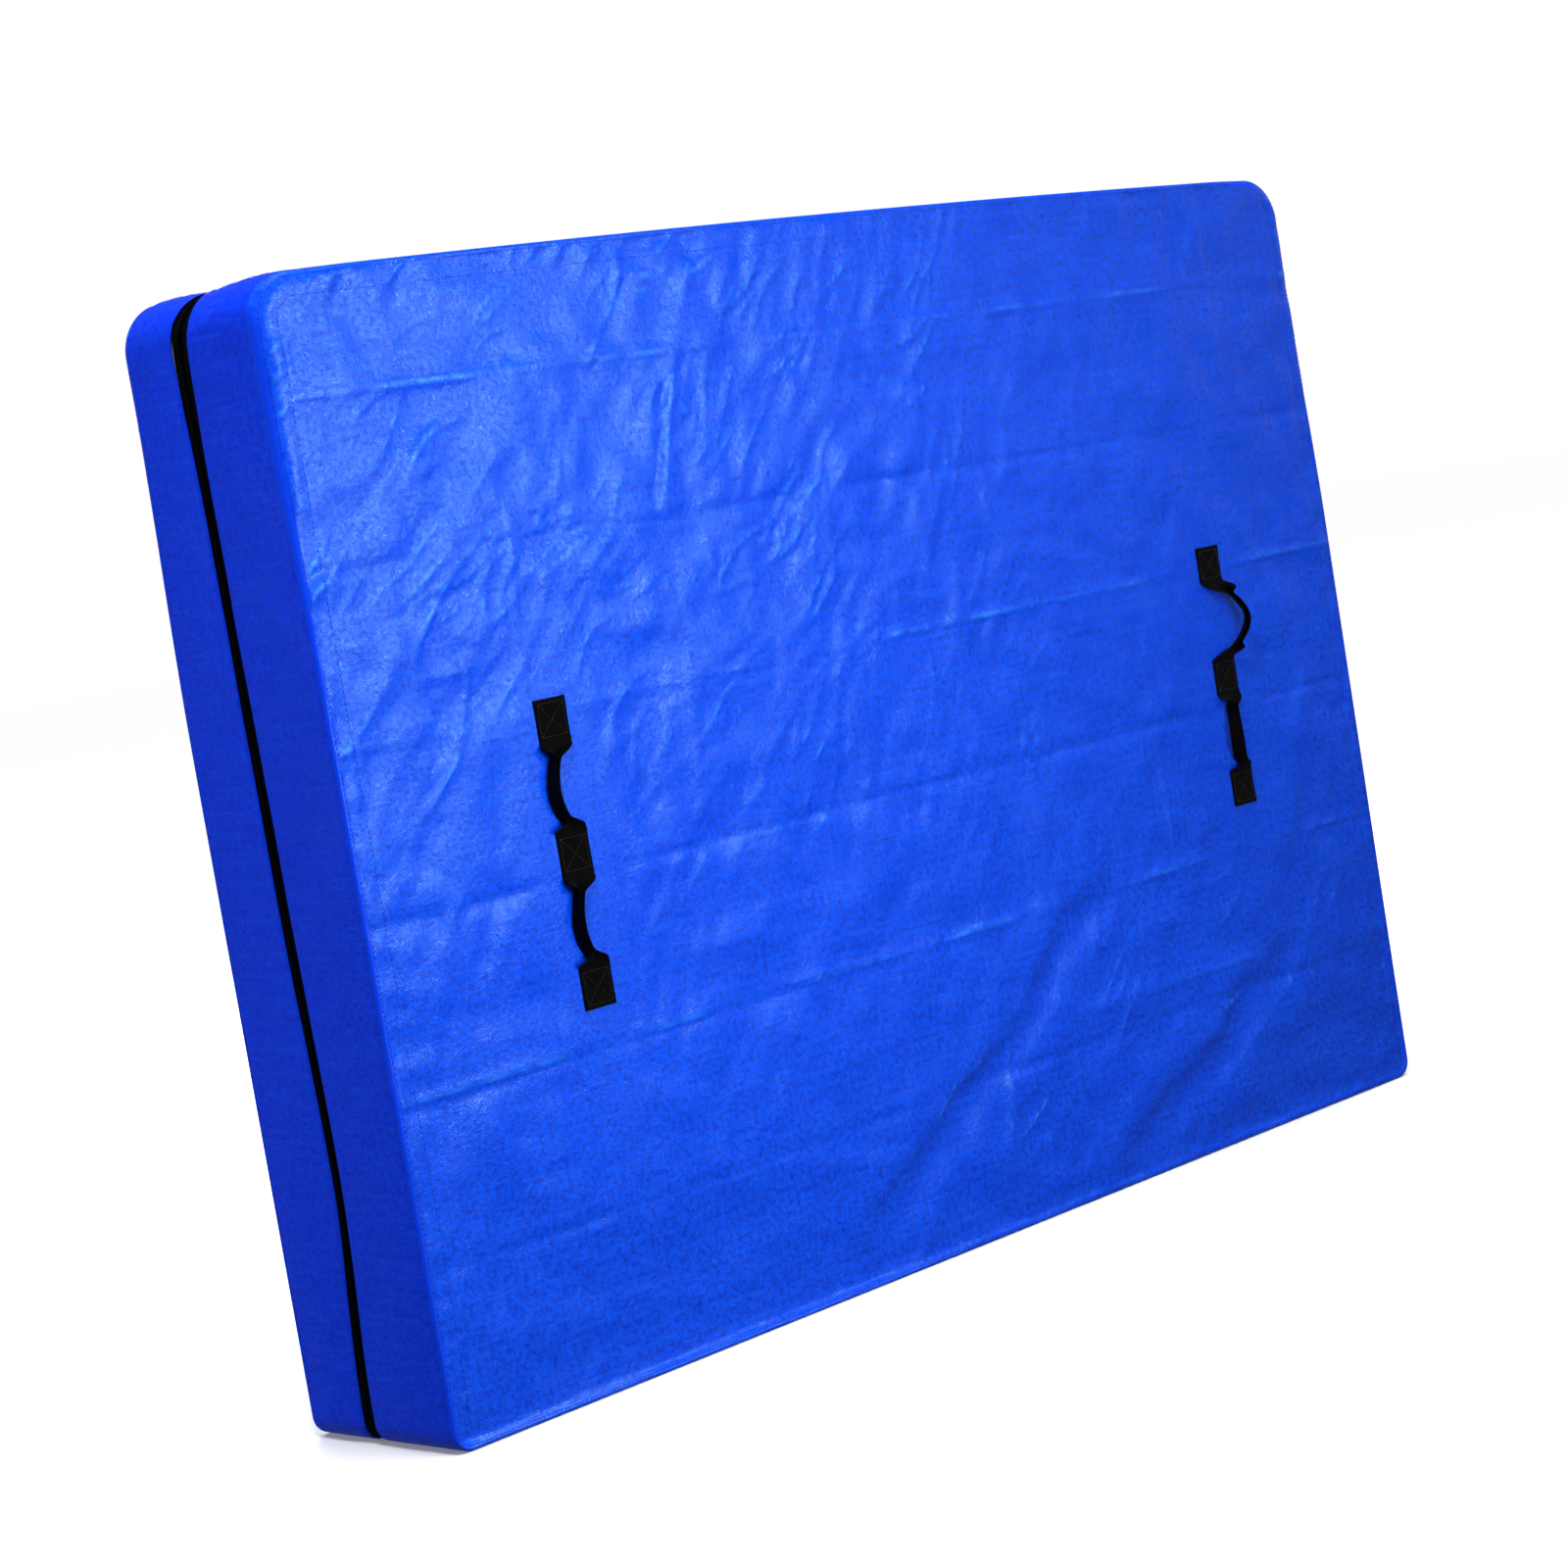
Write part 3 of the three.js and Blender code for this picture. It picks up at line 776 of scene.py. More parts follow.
def zip_tape_material():
    nodes = Nodes("zip_tape")
    uv = nodes.uv()
    weave = tapes(nodes, uv, THREAD_PITCH)
    fluff = nodes.noise(uv, 240.0, 3.0)
    base = nodes.span(fluff, 0, 1, 0.3, 0.7)
    base = nodes.mix(base, (0.0008, 0.0008, 0.0010, 1), (0.0030, 0.0030, 0.0034, 1))
    nodes.set(Base_Color=base, Roughness=nodes.span(fluff, 0.7, 0.92), Specular_IOR_Level=0.15)
    nodes.set(Normal=nodes.bump(weave, 0.0002, 0.8))
    return nodes.material


def coil_material():
    nodes = Nodes("zip_coil")
    place = nodes.place()
    scuff = nodes.noise(place, 90.0, 3.0)
    base = nodes.span(scuff, 0, 1, 0.35, 0.75)
    base = nodes.mix(base, (0.0012, 0.0012, 0.0015, 1), (0.0060, 0.0060, 0.0066, 1))
    nodes.set(Base_Color=base, Roughness=nodes.span(scuff, 0.34, 0.60), Specular_IOR_Level=0.12)
    nodes.set(Normal=nodes.bump(nodes.noise(place, 900.0, 2.0), 0.00005, 0.6))
    return nodes.material


def metal_material():
    """Dark painted zinc, rubbed bright in places."""
    nodes = Nodes("zip_metal")
    place = nodes.place()
    rubbed = nodes.span(nodes.noise(place, 420.0, 5.0, 0.65), 0, 1, 0.56, 0.72)
    base = nodes.mix(rubbed, (0.010, 0.010, 0.012, 1), (0.30, 0.29, 0.28, 1))
    nodes.set(Base_Color=base, Metallic=0.85)
    nodes.set(Roughness=nodes.span(nodes.noise(place, 700.0, 3.0), 0.26, 0.48))
    nodes.set(Normal=nodes.bump(nodes.noise(place, 1500.0, 2.0), 0.00003, 0.5))
    return nodes.material


def thread_material(name, dark, light):
    nodes = Nodes(name)
    place = nodes.place()
    twist = nodes.wave(nodes.scaled(place, (1, 1, 1), (0.5, 0.7, 0.3)), 520.0, "DIAGONAL")
    base = nodes.mix(twist, dark, light)
    nodes.set(Base_Color=base, Roughness=nodes.span(twist, 0.75, 0.5))
    nodes.set(Normal=nodes.bump(twist, 0.0001, 0.7))
    return nodes.material


def foam_material():
    nodes = Nodes("foam")
    place = nodes.place()
    cells = nodes.add("TexVoronoi", {"Vector": place, "Scale": 420.0}).outputs["Distance"]
    age = nodes.noise(place, 3.0, 4.0)
    base = nodes.mix(nodes.span(age, 0, 1, 0.35, 0.7), (0.82, 0.78, 0.66, 1), (0.72, 0.63, 0.44, 1))
    base = nodes.mix(nodes.span(cells, 0.35, 0.0, 0.0, 0.5), base, (0.42, 0.36, 0.26, 1))
    nodes.set(Base_Color=base, Roughness=nodes.span(age, 0.9, 0.98))
    nodes.set(Normal=nodes.bump(cells, 0.0008, 0.7), Sheen_Weight=0.25)
    return nodes.material


FLOOR_GLOW = 0.90
FLOOR_FADE = (0.3, 6.5)  # the floor's glow grows from nothing to full between these distances


def floor_material():
    """Pale near the object, and as bright as the backdrop far from it, so no horizon shows."""
    nodes = Nodes("floor")
    place = nodes.place()
    tint = nodes.noise(place, 1.5, 3.0)
    base = nodes.mix(tint, (0.86, 0.86, 0.86, 1), (0.90, 0.90, 0.90, 1))
    away = nodes.add("VectorMath", {"Vector": place}, operation="LENGTH").outputs["Value"]
    glow = nodes.span(away, 0.0, FLOOR_GLOW, *FLOOR_FADE)
    nodes.set(Base_Color=base, Roughness=0.85, Specular_IOR_Level=0.1)
    nodes.set(Emission_Color=(1, 1, 1, 1), Emission_Strength=glow)
    return nodes.material


TARPAULIN = tarpaulin_material(
    "tarpaulin",
    deep=(0.0028, 0.073, 0.86, 1),
    light=(0.0036, 0.088, 0.94, 1),
    grain=(0.0014, 0.033, 0.54, 1),
    worn=(0.0070, 0.125, 0.95, 1),
    # painted shade on the strip where the panel turns to its wall
    turned_edge_shade=(0.0022, 0.044, 0.80, 1),
)
# The walls get a copy of the tarpaulin in a deeper, less green blue, matched to the end wall as it
# looks in shade: painted shade
SHADED_WALL_TARPAULIN = tarpaulin_material(
    "shaded_wall_tarpaulin",
    deep=(0.0018, 0.040, 0.84, 1),
    light=(0.0024, 0.048, 0.92, 1),
    grain=(0.0015, 0.026, 0.66, 1),
    worn=(0.0060, 0.085, 0.95, 1),
)
WEBBING = webbing_material()
ZIP_TAPE = zip_tape_material()
ZIP_COIL = coil_material()
ZIP_METAL = metal_material()
BLUE_THREAD = thread_material("blue_thread", (0.002, 0.016, 0.36, 1), (0.004, 0.030, 0.52, 1))
BLACK_THREAD = thread_material("black_thread", (0.004, 0.004, 0.005, 1), (0.022, 0.022, 0.024, 1))
FOAM = foam_material()


# ---- the big panels ----


def crease_wear_and_highlight(relief):
    """From 0 to 1, how sharply each grid point stands out: tapes turn pale where they creased, partly
    stress whitening and partly a painted highlight on the ridges.
    """
    ringed = np.pad(relief, 1, mode="edge")
    around = (ringed[:-2, 1:-1] + ringed[2:, 1:-1] + ringed[1:-1, :-2] + ringed[1:-1, 2:]) / 4
    return smooth((relief - around - WEAR_AND_HIGHLIGHT_START) / WEAR_AND_HIGHLIGHT_SPAN)


def build_panel(face):
    across = lines_across(WIDTH, SHEET_CELL) / WIDTH
    heights = lines_across(HEIGHT, SHEET_CELL)
    share, z = np.meshgrid(across, heights)
    x = (2 * share - 1) * half_width(z)
    points = panel_points(face, x, z)
    faces = grid_faces(len(heights), len(across), flip=face == "rear")
    uv = join(x, z)
    panel = add_mesh(f"{face}_panel_sheet", points, faces, TARPAULIN, uv)
    # Pale crease ridges: partly stress whitening, partly a painted highlight
    wear_and_highlight = panel.data.attributes.new("crease_wear_and_highlight", "FLOAT", "POINT")
    wear_and_highlight.data.foreach_set("value", crease_wear_and_highlight(SIDE[face] * points[..., 1]).ravel())
    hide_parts(f"{face}_panel")
    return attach(panel, f"{face}_half")


def build_panel_stitches(face):
    """Two lines of stitches round the hem of a big panel."""
    lengths = np.arange(0.0, WHOLE_WALK, STITCH_PITCH)
    for name, depth in (("outer", HEM_LINE), ("inner", HEM_WIDTH)):
        x, z, nx, nz = walk(lengths, inset=depth)
        points = panel_points(face, x, z)
        outward = np.tile([0.0, SIDE[face], 0.0], (len(points), 1))
        lean = 1.0 - min(depth / HEM_TURN, 1.0)
        outward[:, 0] += nx * lean
        outward[:, 2] += nz * lean
        stitch_line(f"{face}_{name}_hem_stitches", points, outward, f"{face}_half")


# ---- the walls and the zip ----


def zip_line(lengths):
    """The zip's centre (y) along the walk; it wanders down the left end."""
    stops = [  # place along the walk, y
        (LEFT_END_TOP - 0.09, ZIP_Y),
        (LEFT_END_TOP + 0.03, 0.0185),
        (LEFT_END_TOP + 0.28, 0.0150),
        (LEFT_END_TOP + 0.63, 0.0115),
        (LEFT_END_TOP + 0.99, 0.0030),
        (LEFT_END_BOTTOM - 0.01, 0.0240),
        (LEFT_END_BOTTOM + 0.40, ZIP_Y),
    ]
    return smooth_steps(lengths, stops)


def half_opening(lengths):
    """Centre of the zip to each tarpaulin edge; it gapes at the upper left corner."""
    down = lengths - LEFT_END_TOP
    gape = bell(down + 0.02, 0.050 + 0.055 * smooth((down + 0.02) / 0.10))
    narrow = bell(down - 0.98, 0.14)
    ripple = 0.0008 * noise(lengths / 0.12, 0 * lengths, 2)
    on_end = smooth((down + 0.2) / 0.15)
    return ZIP_HALF_OPENING + CORNER_GAPE * gape - FOOT_NARROWING * narrow + ripple * on_end


# Scratches on the left end: how far down it each starts, and how far from the panel's edge.
SCRATCHES = ((0.0, 0.02), (0.30, 0.06), (0.62, 0.03), (1.10, 0.05))
WALL_SEED = {"front": 31, "rear": 47}


def wall_relief(lengths, from_edge, nz, seed):
    """How far a wall stands out from the outline; nothing bulges below the bottom edge."""
    relief = crumple(lengths, from_edge, seed, 7, 0.14, 0.0007)
    relief += 0.0010 * noise(lengths / 0.16, from_edge / 0.09, 1)
    relief += 0.0005 * noise(lengths / 0.035, from_edge / 0.03, 2)
    for place, edge in SCRATCHES:
        start = LEFT_END_TOP + place
        scratch = [(start, edge), (start + 0.05, edge + 0.018), (start + 0.11, edge + 0.022)]
        relief += crease(lengths, from_edge, scratch, 0.004, 0.0016)
    crushed = bell(lengths - LEFT_END_TOP + 0.03, 0.07)
    relief += crushed * 0.0022 * (1 - np.abs(noise(lengths / 0.035, from_edge / 0.025, 6)) - 0.6)
    return relief * (1 - smooth((-nz - 0.2) / 0.5))


def above_floor(out, nz):
    """Keeps the underside from bulging below the outline."""
    return np.where(nz < -0.3, np.minimum(out, 0), out)


def seam_dip(from_edge):
    """The groove along the seam between a wall and its panel."""
    return SEAM_DEPTH * bell(from_edge - SEAM_PLACE, SEAM_WIDTH)


def wall_points(lengths, y, out):
    """Points at (y, out from the outline) for each length along the walk, and their flat places."""
    x, z, nx, nz = (value[:, None] for value in walk(lengths))
    points = join(x + out * nx, y, z + out * nz)
    return points, join(y, np.repeat(lengths[:, None], y.shape[1], axis=1))


def wall_profile(face, lengths):
    """A wall's points from the panel's edge to the zip, then turned under along the zip."""
    x, z, _, nz = walk(lengths)
    side = SIDE[face]
    off_floor = 1 - np.maximum(-nz, 0)
    edge_y = side * (HALF_DEPTH - edge_radius(x, z))
    zip_y = zip_line(lengths) + side * half_opening(lengths)
    middle = 0.04 + 0.94 * np.linspace(0, 1, 23)[1:-1]
    shares = np.concatenate([[0.0, 0.008, 0.02, 0.04], middle, [0.98, 0.993, 1.0]])
    rows = []
    for share in shares:
        y = edge_y + (zip_y - edge_y) * share
        from_edge = np.abs(y - edge_y)
        to_zip = np.abs(zip_y - y)
        hold = smooth(from_edge / 0.012) * smooth(to_zip / 0.020)
        relief = wall_relief(lengths, from_edge, nz, WALL_SEED[face])
        roll = 0.0013 * (1 - smooth(to_zip / 0.0035)) ** 2
        crown = 0.0022 * math.sin(math.pi * share) * off_floor
        out = relief * hold + crown - seam_dip(from_edge) * off_floor - roll
        out = out + swell(x, nz) * (1 - smooth(share / 0.85))
        rows.append((y, above_floor(out, nz)))
    for back, drop in ((0.0004, 0.0018), (0.0018, 0.0023), (HEM_RETURN, 0.0024)):
        rows.append((zip_y + side * back, 0 * x - drop))
    y, out = (np.stack(values, axis=1) for values in zip(*rows))
    return wall_points(lengths, y, out)


def build_gusset(face):
    """One strip of wall over the top, down the left end and back along the bottom."""
    lengths = np.linspace(0, ZIP_WALK, round(ZIP_WALK / WALL_CELL))
    points, uv = wall_profile(face, lengths)
    faces = grid_faces(*points.shape[:2], flip=face == "rear")
    gusset = add_mesh(f"{face}_gusset", points, faces, SHADED_WALL_TARPAULIN, uv)
    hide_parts(f"{face}_wall_top", f"{face}_wall_left", f"{face}_wall_bottom")
    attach(gusset, f"{face}_half")
    stitches = np.arange(0.01, ZIP_WALK - 0.01, STITCH_PITCH)
    x, z, nx, nz = walk(stitches, inset=0.0004)
    y = zip_line(stitches) + SIDE[face] * (half_opening(stitches) + ZIP_STITCH_REACH)
    run = join(x, y, z)
    outward = join(nx, 0 * nx, nz)
    seen = run[:, 2] > UNDERSIDE_TOP
    stitch_line(f"{face}_zip_stitches", run[seen], outward[seen], f"{face}_half")


def build_right_end():
    """The end wall that the cover opens about, with a shallow crease where the two halves meet."""
    lengths = np.linspace(ZIP_WALK, WHOLE_WALK, 240)
    x, z, _, nz = walk(lengths)
    edge = HALF_DEPTH - edge_radius(x, z)
    fold_share = 0.5 + 0.5 * ZIP_Y / HALF_DEPTH
    shares = np.concatenate([
        [0, 0.004, 0.01, 0.02],
        np.linspace(0.035, fold_share - 0.055, 30),
        np.linspace(fold_share - 0.048, fold_share + 0.048, 21),
        np.linspace(fold_share + 0.055, 0.965, 25),
        [0.98, 0.99, 0.996, 1],
    ])
    y = (2 * shares[None, :] - 1) * edge[:, None]
    from_edge = edge[:, None] - np.abs(y)
    grid = np.repeat(lengths[:, None], y.shape[1], axis=1)
    relief = crumple(grid, y + 0.2, 61, 8, 0.15, 0.0009)
    relief = relief + 0.001 * noise(grid / 0.15, y / 0.09, 1)
    fold = 0.0012 * np.exp(-np.abs(y - ZIP_Y) / 0.006)
    flat = (1 - np.maximum(-nz, 0))[:, None]
    out = relief * smooth(from_edge / 0.012) * flat - fold * flat
    out += 0.0018 * np.cos(y / HALF_DEPTH * math.pi / 2) * flat
    out -= seam_dip(from_edge) * flat
    out += swell(x, nz)[:, None] * smooth(np.abs(y - ZIP_Y) / 0.1)
    points, uv = wall_points(lengths, y, above_floor(out, nz[:, None]))
    end = add_mesh("right_end_sheet", points, grid_faces(*y.shape), SHADED_WALL_TARPAULIN, uv)
    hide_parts("front_wall_right", "rear_wall_right")
    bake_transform(end)


def build_strip(name, replaced, lengths, depth, lines, flip, body):
    """A thin strip along the zip; lines holds each grid line's reach from the zip and its drop."""
    x, z, nx, nz = walk(lengths, inset=depth)
    centre = zip_line(lengths)
    rows = []
    for reach, drop in lines:
        rows.append(join(x - drop * nx, centre + reach, z - drop * nz))
    points = np.stack(rows, axis=1)
    uv = join(points[..., 1], np.repeat(lengths[:, None], len(rows), axis=1))
    strip = add_mesh(name, points, grid_faces(*points.shape[:2], flip=flip), ZIP_TAPE, uv)
    thick = strip.modifiers.new("thickness", "SOLIDIFY")
    thick.thickness = TAPE_THICKNESS
    if replaced:
        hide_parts(replaced)
    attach(strip, body)


# A tape's grid lines: how far each is from the zip's centre, and how far it lies inwards.
TAPE_LINES = ((TAPE_EDGE, 0.0002), (0.0040, 0), (0.0065, 0.0001), (0.0100, 0.0002), (0.0160, 0.0003))
# A coil tooth's rings, from the tape towards the zip's centre: place, half width, half height.
TOOTH_RINGS = (
    (-0.0004, 0.0003, 0.0007),
    (0.0004, 0.00052, 0.0011),
    (0.0014, 0.00052, 0.0012),
    (0.0020, 0.00068, 0.0013),
    (0.0025, 0.00040, 0.0008),
)


def build_zip_side(face):
    """One side's woven tape, and its row of coil teeth."""
    side = SIDE[face]
    name = f"zip_tape_{face}"
    body = f"{face}_half"
    lengths = np.arange(0.014, ZIP_WALK - 0.012, WALL_CELL)
    lines = [(side * reach, drop) for reach, drop in TAPE_LINES]
    flip = face == "front"
    build_strip(f"{name}_sheet", name, lengths, ZIP_DEPTH, lines, flip, body)

    shift = 0.5 * COIL_PITCH if face == "rear" else 0.0
    teeth = np.arange(0.016 + shift, ZIP_WALK - 0.014, COIL_PITCH)
    x, z, nx, nz = walk(teeth, inset=ZIP_DEPTH)
    places = join(x, zip_line(teeth) + side * TAPE_EDGE, z)
    inwards = np.tile([0.0, -side, 0.0], (len(teeth), 1))
    outward = join(nx, 0 * nx, nz)
    axes = np.stack([inwards, np.cross(outward, inwards), outward], axis=1)
    tooth = lozenge([(*ring, 0) for ring in TOOTH_RINGS], 6)
    coil = scatter(f"zip_coil_{face}", tooth, places, axes, ZIP_COIL)
    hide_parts(f"zip_teeth_{face}")
    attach(coil, body)


def build_zip_shade_strip():
    """A dark strip of tape behind the zip, on the rear half only: painted shade that keeps the gap
    between the coil rows dark and hides the slab behind it.
    """
    lengths = np.arange(0.003, ZIP_WALK - 0.003, WALL_CELL)
    lines = [(reach, 0) for reach in np.linspace(*SHADE_STRIP_REACH, 9)]
    build_strip("zip_shade_strip", None, lengths, SHADE_STRIP_DEPTH, lines, True, "rear_half")


def dress_zip_metal():
    """The stops, the slider and its pull keep their CAD shape, with rounded edges."""
    for name in ("zip_stop_upper", "zip_stop_lower", "slider_body", "slider_bail", "pull_tab"):
        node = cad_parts[name]
        for slot in node.material_slots:
            slot.material = ZIP_METAL
        round_off = node.modifiers.new("rounded", "BEVEL")
        round_off.width = METAL_ROUNDING
        round_off.segments = 2
        round_off.limit_method = "ANGLE"


# ---- the foam slab ----

FOAM_EDGE = 0.012  # radius of the slab's long edges
FOAM_SHRINK = 0.0015  # the slab's skin inside its CAD solid
FOAM_INSET = 0.012  # tarpaulin's outline to the slab's
FOAM_CELL = 0.045
FOAM_DENT = 0.0016
FOAM_LINES = np.array([0, 0.0012, 0.003, 0.0055, 0.0085, 0.012, 0.018, 0.026, 0.036, 0.048])


def foam_lines(low, high):
    """Grid lines from low to high, close together where the slab's corners are rounded."""
    start = min(FOAM_LINES[-1], (high - low) / 4)
    near = FOAM_LINES[FOAM_LINES <= start]
    middle = np.linspace(low + near[-1], high - near[-1], round((high - low) / FOAM_CELL) + 2)
    return np.concatenate([low + near, middle[1:-1], high - near[::-1]])


def rounded_slab(places, low, high):
    """Points of a box's surface, moved in to the rounded outline and the rounded edges."""
    middle = (low + high) / 2
    radius = np.where(places[:, 2] > middle[2], TOP_RADIUS, BOTTOM_RADIUS) - FOAM_INSET
    core = places.copy()
    for axis in (0, 2):
        core[:, axis] = np.clip(places[:, axis], low[axis] + radius, high[axis] - radius)
    away = places - core
    reach = np.max(np.abs(away), axis=1)
    dent = FOAM_DENT * np.abs(noise(places[:, 0] / 0.13 + places[:, 1] * 9, places[:, 2] / 0.13, 9))
    # how far each point is into the rounding, seen along the nearest long edge
    half_depth = (high[1] - low[1]) / 2
    sideways = np.maximum(FOAM_EDGE - (radius - reach), 0)
    across = np.maximum(FOAM_EDGE - (half_depth - np.abs(places[:, 1] - middle[1])), 0)
    shrink = (FOAM_EDGE - dent) / np.hypot(sideways, across)
    reach = reach - sideways * (1 - shrink)
    moved = core + away / np.maximum(np.linalg.norm(away, axis=1), 1e-9)[:, None] * reach[:, None]
    moved[:, 1] = places[:, 1] - np.sign(places[:, 1] - middle[1]) * across * (1 - shrink)
    return moved


def build_foam():
    """A cut slab: each side is a grid, its corners and edges are rounded, and old dents show."""
    low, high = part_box("foam_core")
    low, high = np.array(low) + FOAM_SHRINK, np.array(high) - FOAM_SHRINK
    builder = bmesh.new()
    for axis in range(3):
        first, second = (axis + 1) % 3, (axis + 2) % 3
        for end in (low, high):
            grid_a, grid_b = np.meshgrid(*[foam_lines(low[k], high[k]) for k in (first, second)])
            points = np.zeros(grid_a.shape + (3,))
            points[..., axis], points[..., first], points[..., second] = end[axis], grid_a, grid_b
            verts = [builder.verts.new(p) for p in points.reshape(-1, 3)]
            for quad in grid_faces(*grid_a.shape, flip=end is low):
                builder.faces.new([verts[i] for i in quad])
    bmesh.ops.remove_doubles(builder, verts=builder.verts, dist=1e-6)
    places = rounded_slab(np.array([v.co[:] for v in builder.verts]), low, high)
    for vertex, place in zip(builder.verts, places):
        vertex.co = place
    mesh = bpy.data.meshes.new("foam_slab")
    builder.to_mesh(mesh)
    builder.free()
    mesh.polygons.foreach_set("use_smooth", [True] * len(mesh.polygons))
    mesh.materials.append(FOAM)
    slab = link("foam_slab", mesh)
    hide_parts("foam_core")
    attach(slab, "rear_half")


# ---- the carry handles ----

STRAP_HALF = 0.025  # half the strap's width
STRAP_THICKNESS = 0.0016
SEWN_WIDTH = 0.80  # a patch's sewn square, as shares of the patch
SEWN_HEIGHT = 0.78
SEWN_PITCH = 0.0038
SEWN_LENGTH = 0.0030
SEWN_RADIUS = 0.00036
SEWN_SINK = 0.00035  # how far the black stitches are pulled into the strap
PATCH_GRID = (31, 33)  # points across and up a patch
PATCH_LIFT = 0.0004  # gap between a patch and the panel
PRESS_DEPTH = 0.00050  # how far the stitching presses the strap in
LOOP_AXIS = 0.005  # how far out from the panel a loop's strap stands before it bows
LOOP_CLEARANCE = 0.0018
LOOP_GATHER = 0.022  # the strap is folded together this far from its patches
LOOP_FIXED = 0.018  # a distance along the strap from its patch
LOOP_FREE = 0.046  # and a further one
LOOP_TWIST = math.radians(14)
FOLD_ANGLE = math.radians(86)  # each half of a folded strap turns this far from flat
LOOP_SQUEEZE = 0.28  # the folded strap is this much narrower than half its width
LOOP_TUCK = 0.02  # share of a loop's height that runs on over its patches
PLACES = ("lower", "middle", "upper")
# Which way each loop bows (degrees from straight out) and how far.
LEANS = {
    "left": {"lower": -75, "upper": -75},
    "right": {"lower": -50, "upper": 45},
}
BOWS = {
    "left": {"lower": 0.021, "upper": 0.025},
    "right": {"lower": 0.030, "upper": 0.039},
}


def place_on(face, local):
    """Handle points (x, out from the face, z) in the object's frame; the rear ones are turned round."""
    x, out, z = local[..., 0], local[..., 1], local[..., 2]
    side = SIDE[face]
    return join(-side * x, side * (HALF_DEPTH + out), z)


def surface_out(face, local_x, z):
    """How far the panel stands out under a handle's point."""
    return RELIEF[face](-SIDE[face] * local_x, z)


def box_cross(half_x, half_z, pitch):
    """Stitch places for a sewn square with a cross in it."""
    corners = [(-half_x, -half_z), (half_x, -half_z), (half_x, half_z), (-half_x, half_z)]
    runs = list(zip(corners, corners[1:] + corners[:1]))
    runs += [(corners[0], corners[2]), (corners[1], corners[3])]
    for start, end in runs:
        count = max(2, round(math.dist(start, end) / pitch))
        share = (np.arange(count) + 0.5) / count
        yield np.array(start) + share[:, None] * (np.array(end) - np.array(start))


def patch_thickness(place, up):
    """A patch is thicker where the strap's end is turned under; up is from -1 to 1 over it."""
    to_end = {"lower": -up, "upper": up}.get(place, 0 * up)
    return STRAP_THICKNESS * (1.1 + 0.75 * smooth((to_end - 0.45) / 0.06))


def build_patch(face, side, place):
    """A stretch of strap sewn flat on the panel with a square and a cross."""
    name = f"{face}_{side}_patch_{place}"
    body = f"{face}_half"
    low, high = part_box(name)
    middle_x, middle_z = middle_of(name)
    local_x = -SIDE[face] * middle_x
    half_z = (high.z - low.z) / 2
    a, b = np.meshgrid(*(np.linspace(-1, 1, count) for count in PATCH_GRID))
    x, z = local_x + a * STRAP_HALF, middle_z + b * half_z
    ground = surface_out(face, x, z)
    u, v = a / SEWN_WIDTH, b / SEWN_HEIGHT
    sewn_box = np.maximum(np.abs(u), np.abs(v))
    sewn_cross = np.minimum(np.abs(u - v), np.abs(u + v))
    pressed = np.maximum(bell(sewn_box - 1, 0.06), bell(sewn_cross, 0.07) * (sewn_box < 1))
    edge = smooth((1 - np.maximum(np.abs(a), np.abs(b))) / 0.05)
    thick = patch_thickness(place, b) * (0.45 + 0.55 * edge)
    top = ground + PATCH_LIFT + thick - PRESS_DEPTH * pressed
    upper = join(x, top, z)
    lower = join(x, ground + 0.0001, z)
    points = np.concatenate([upper.reshape(-1, 3), lower.reshape(-1, 3)])
    count = a.size
    rows, columns = a.shape
    faces = grid_faces(rows, columns)
    faces += [[i + count for i in reversed(f)] for f in grid_faces(rows, columns)]
    numbers = np.arange(count).reshape(rows, columns)
    sides = [numbers[0], numbers[1:, -1], numbers[-1, -2::-1], numbers[-2:0:-1, 0]]
    rim = np.concatenate(sides).tolist()
    for here, beside in zip(rim, rim[1:] + rim[:1]):
        faces.append([beside, here, here + count, beside + count])
    uv = np.concatenate([join(x - local_x, z).reshape(-1, 2)] * 2)
    patch = add_mesh(f"{name}_strap", place_on(face, points), faces, WEBBING, uv)
    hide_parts(name)
    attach(patch, body)
    places, axes = [], []
    for run in box_cross(SEWN_WIDTH * STRAP_HALF, SEWN_HEIGHT * half_z, SEWN_PITCH):
        x, z = local_x + run[:, 0], middle_z + run[:, 1]
        thick = patch_thickness(place, run[:, 1] / half_z)
        out = surface_out(face, x, z) + PATCH_LIFT + thick - SEWN_SINK
        places.append(place_on(face, join(x, out, z)))
        axes.append(run_axes(places[-1], np.tile([0.0, SIDE[face], 0.0], (len(run), 1))))
    shape = stitch_shape(SEWN_LENGTH, SEWN_RADIUS)
    places, axes = np.concatenate(places), np.concatenate(axes)
    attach(scatter(f"{name}_stitches", shape, places, axes, BLACK_THREAD), body)


def folded_section(fold):
    """A strap's centre line across its width, from flat at fold 0 to doubled over at fold 1."""
    across = np.linspace(-1, 1, 33)
    angle = FOLD_ANGLE * fold * np.clip((across - 0.08) / 0.16, -1, 1)
    step = STRAP_HALF * (across[1] - across[0])
    between = (angle[1:] + angle[:-1]) / 2
    wide = np.concatenate([[0], np.cumsum(np.cos(between) * step)])
    deep = np.concatenate([[0], np.cumsum(np.sin(between) * step)])
    middle = len(across) // 2
    return wide - wide[middle], deep - deep.min(), angle


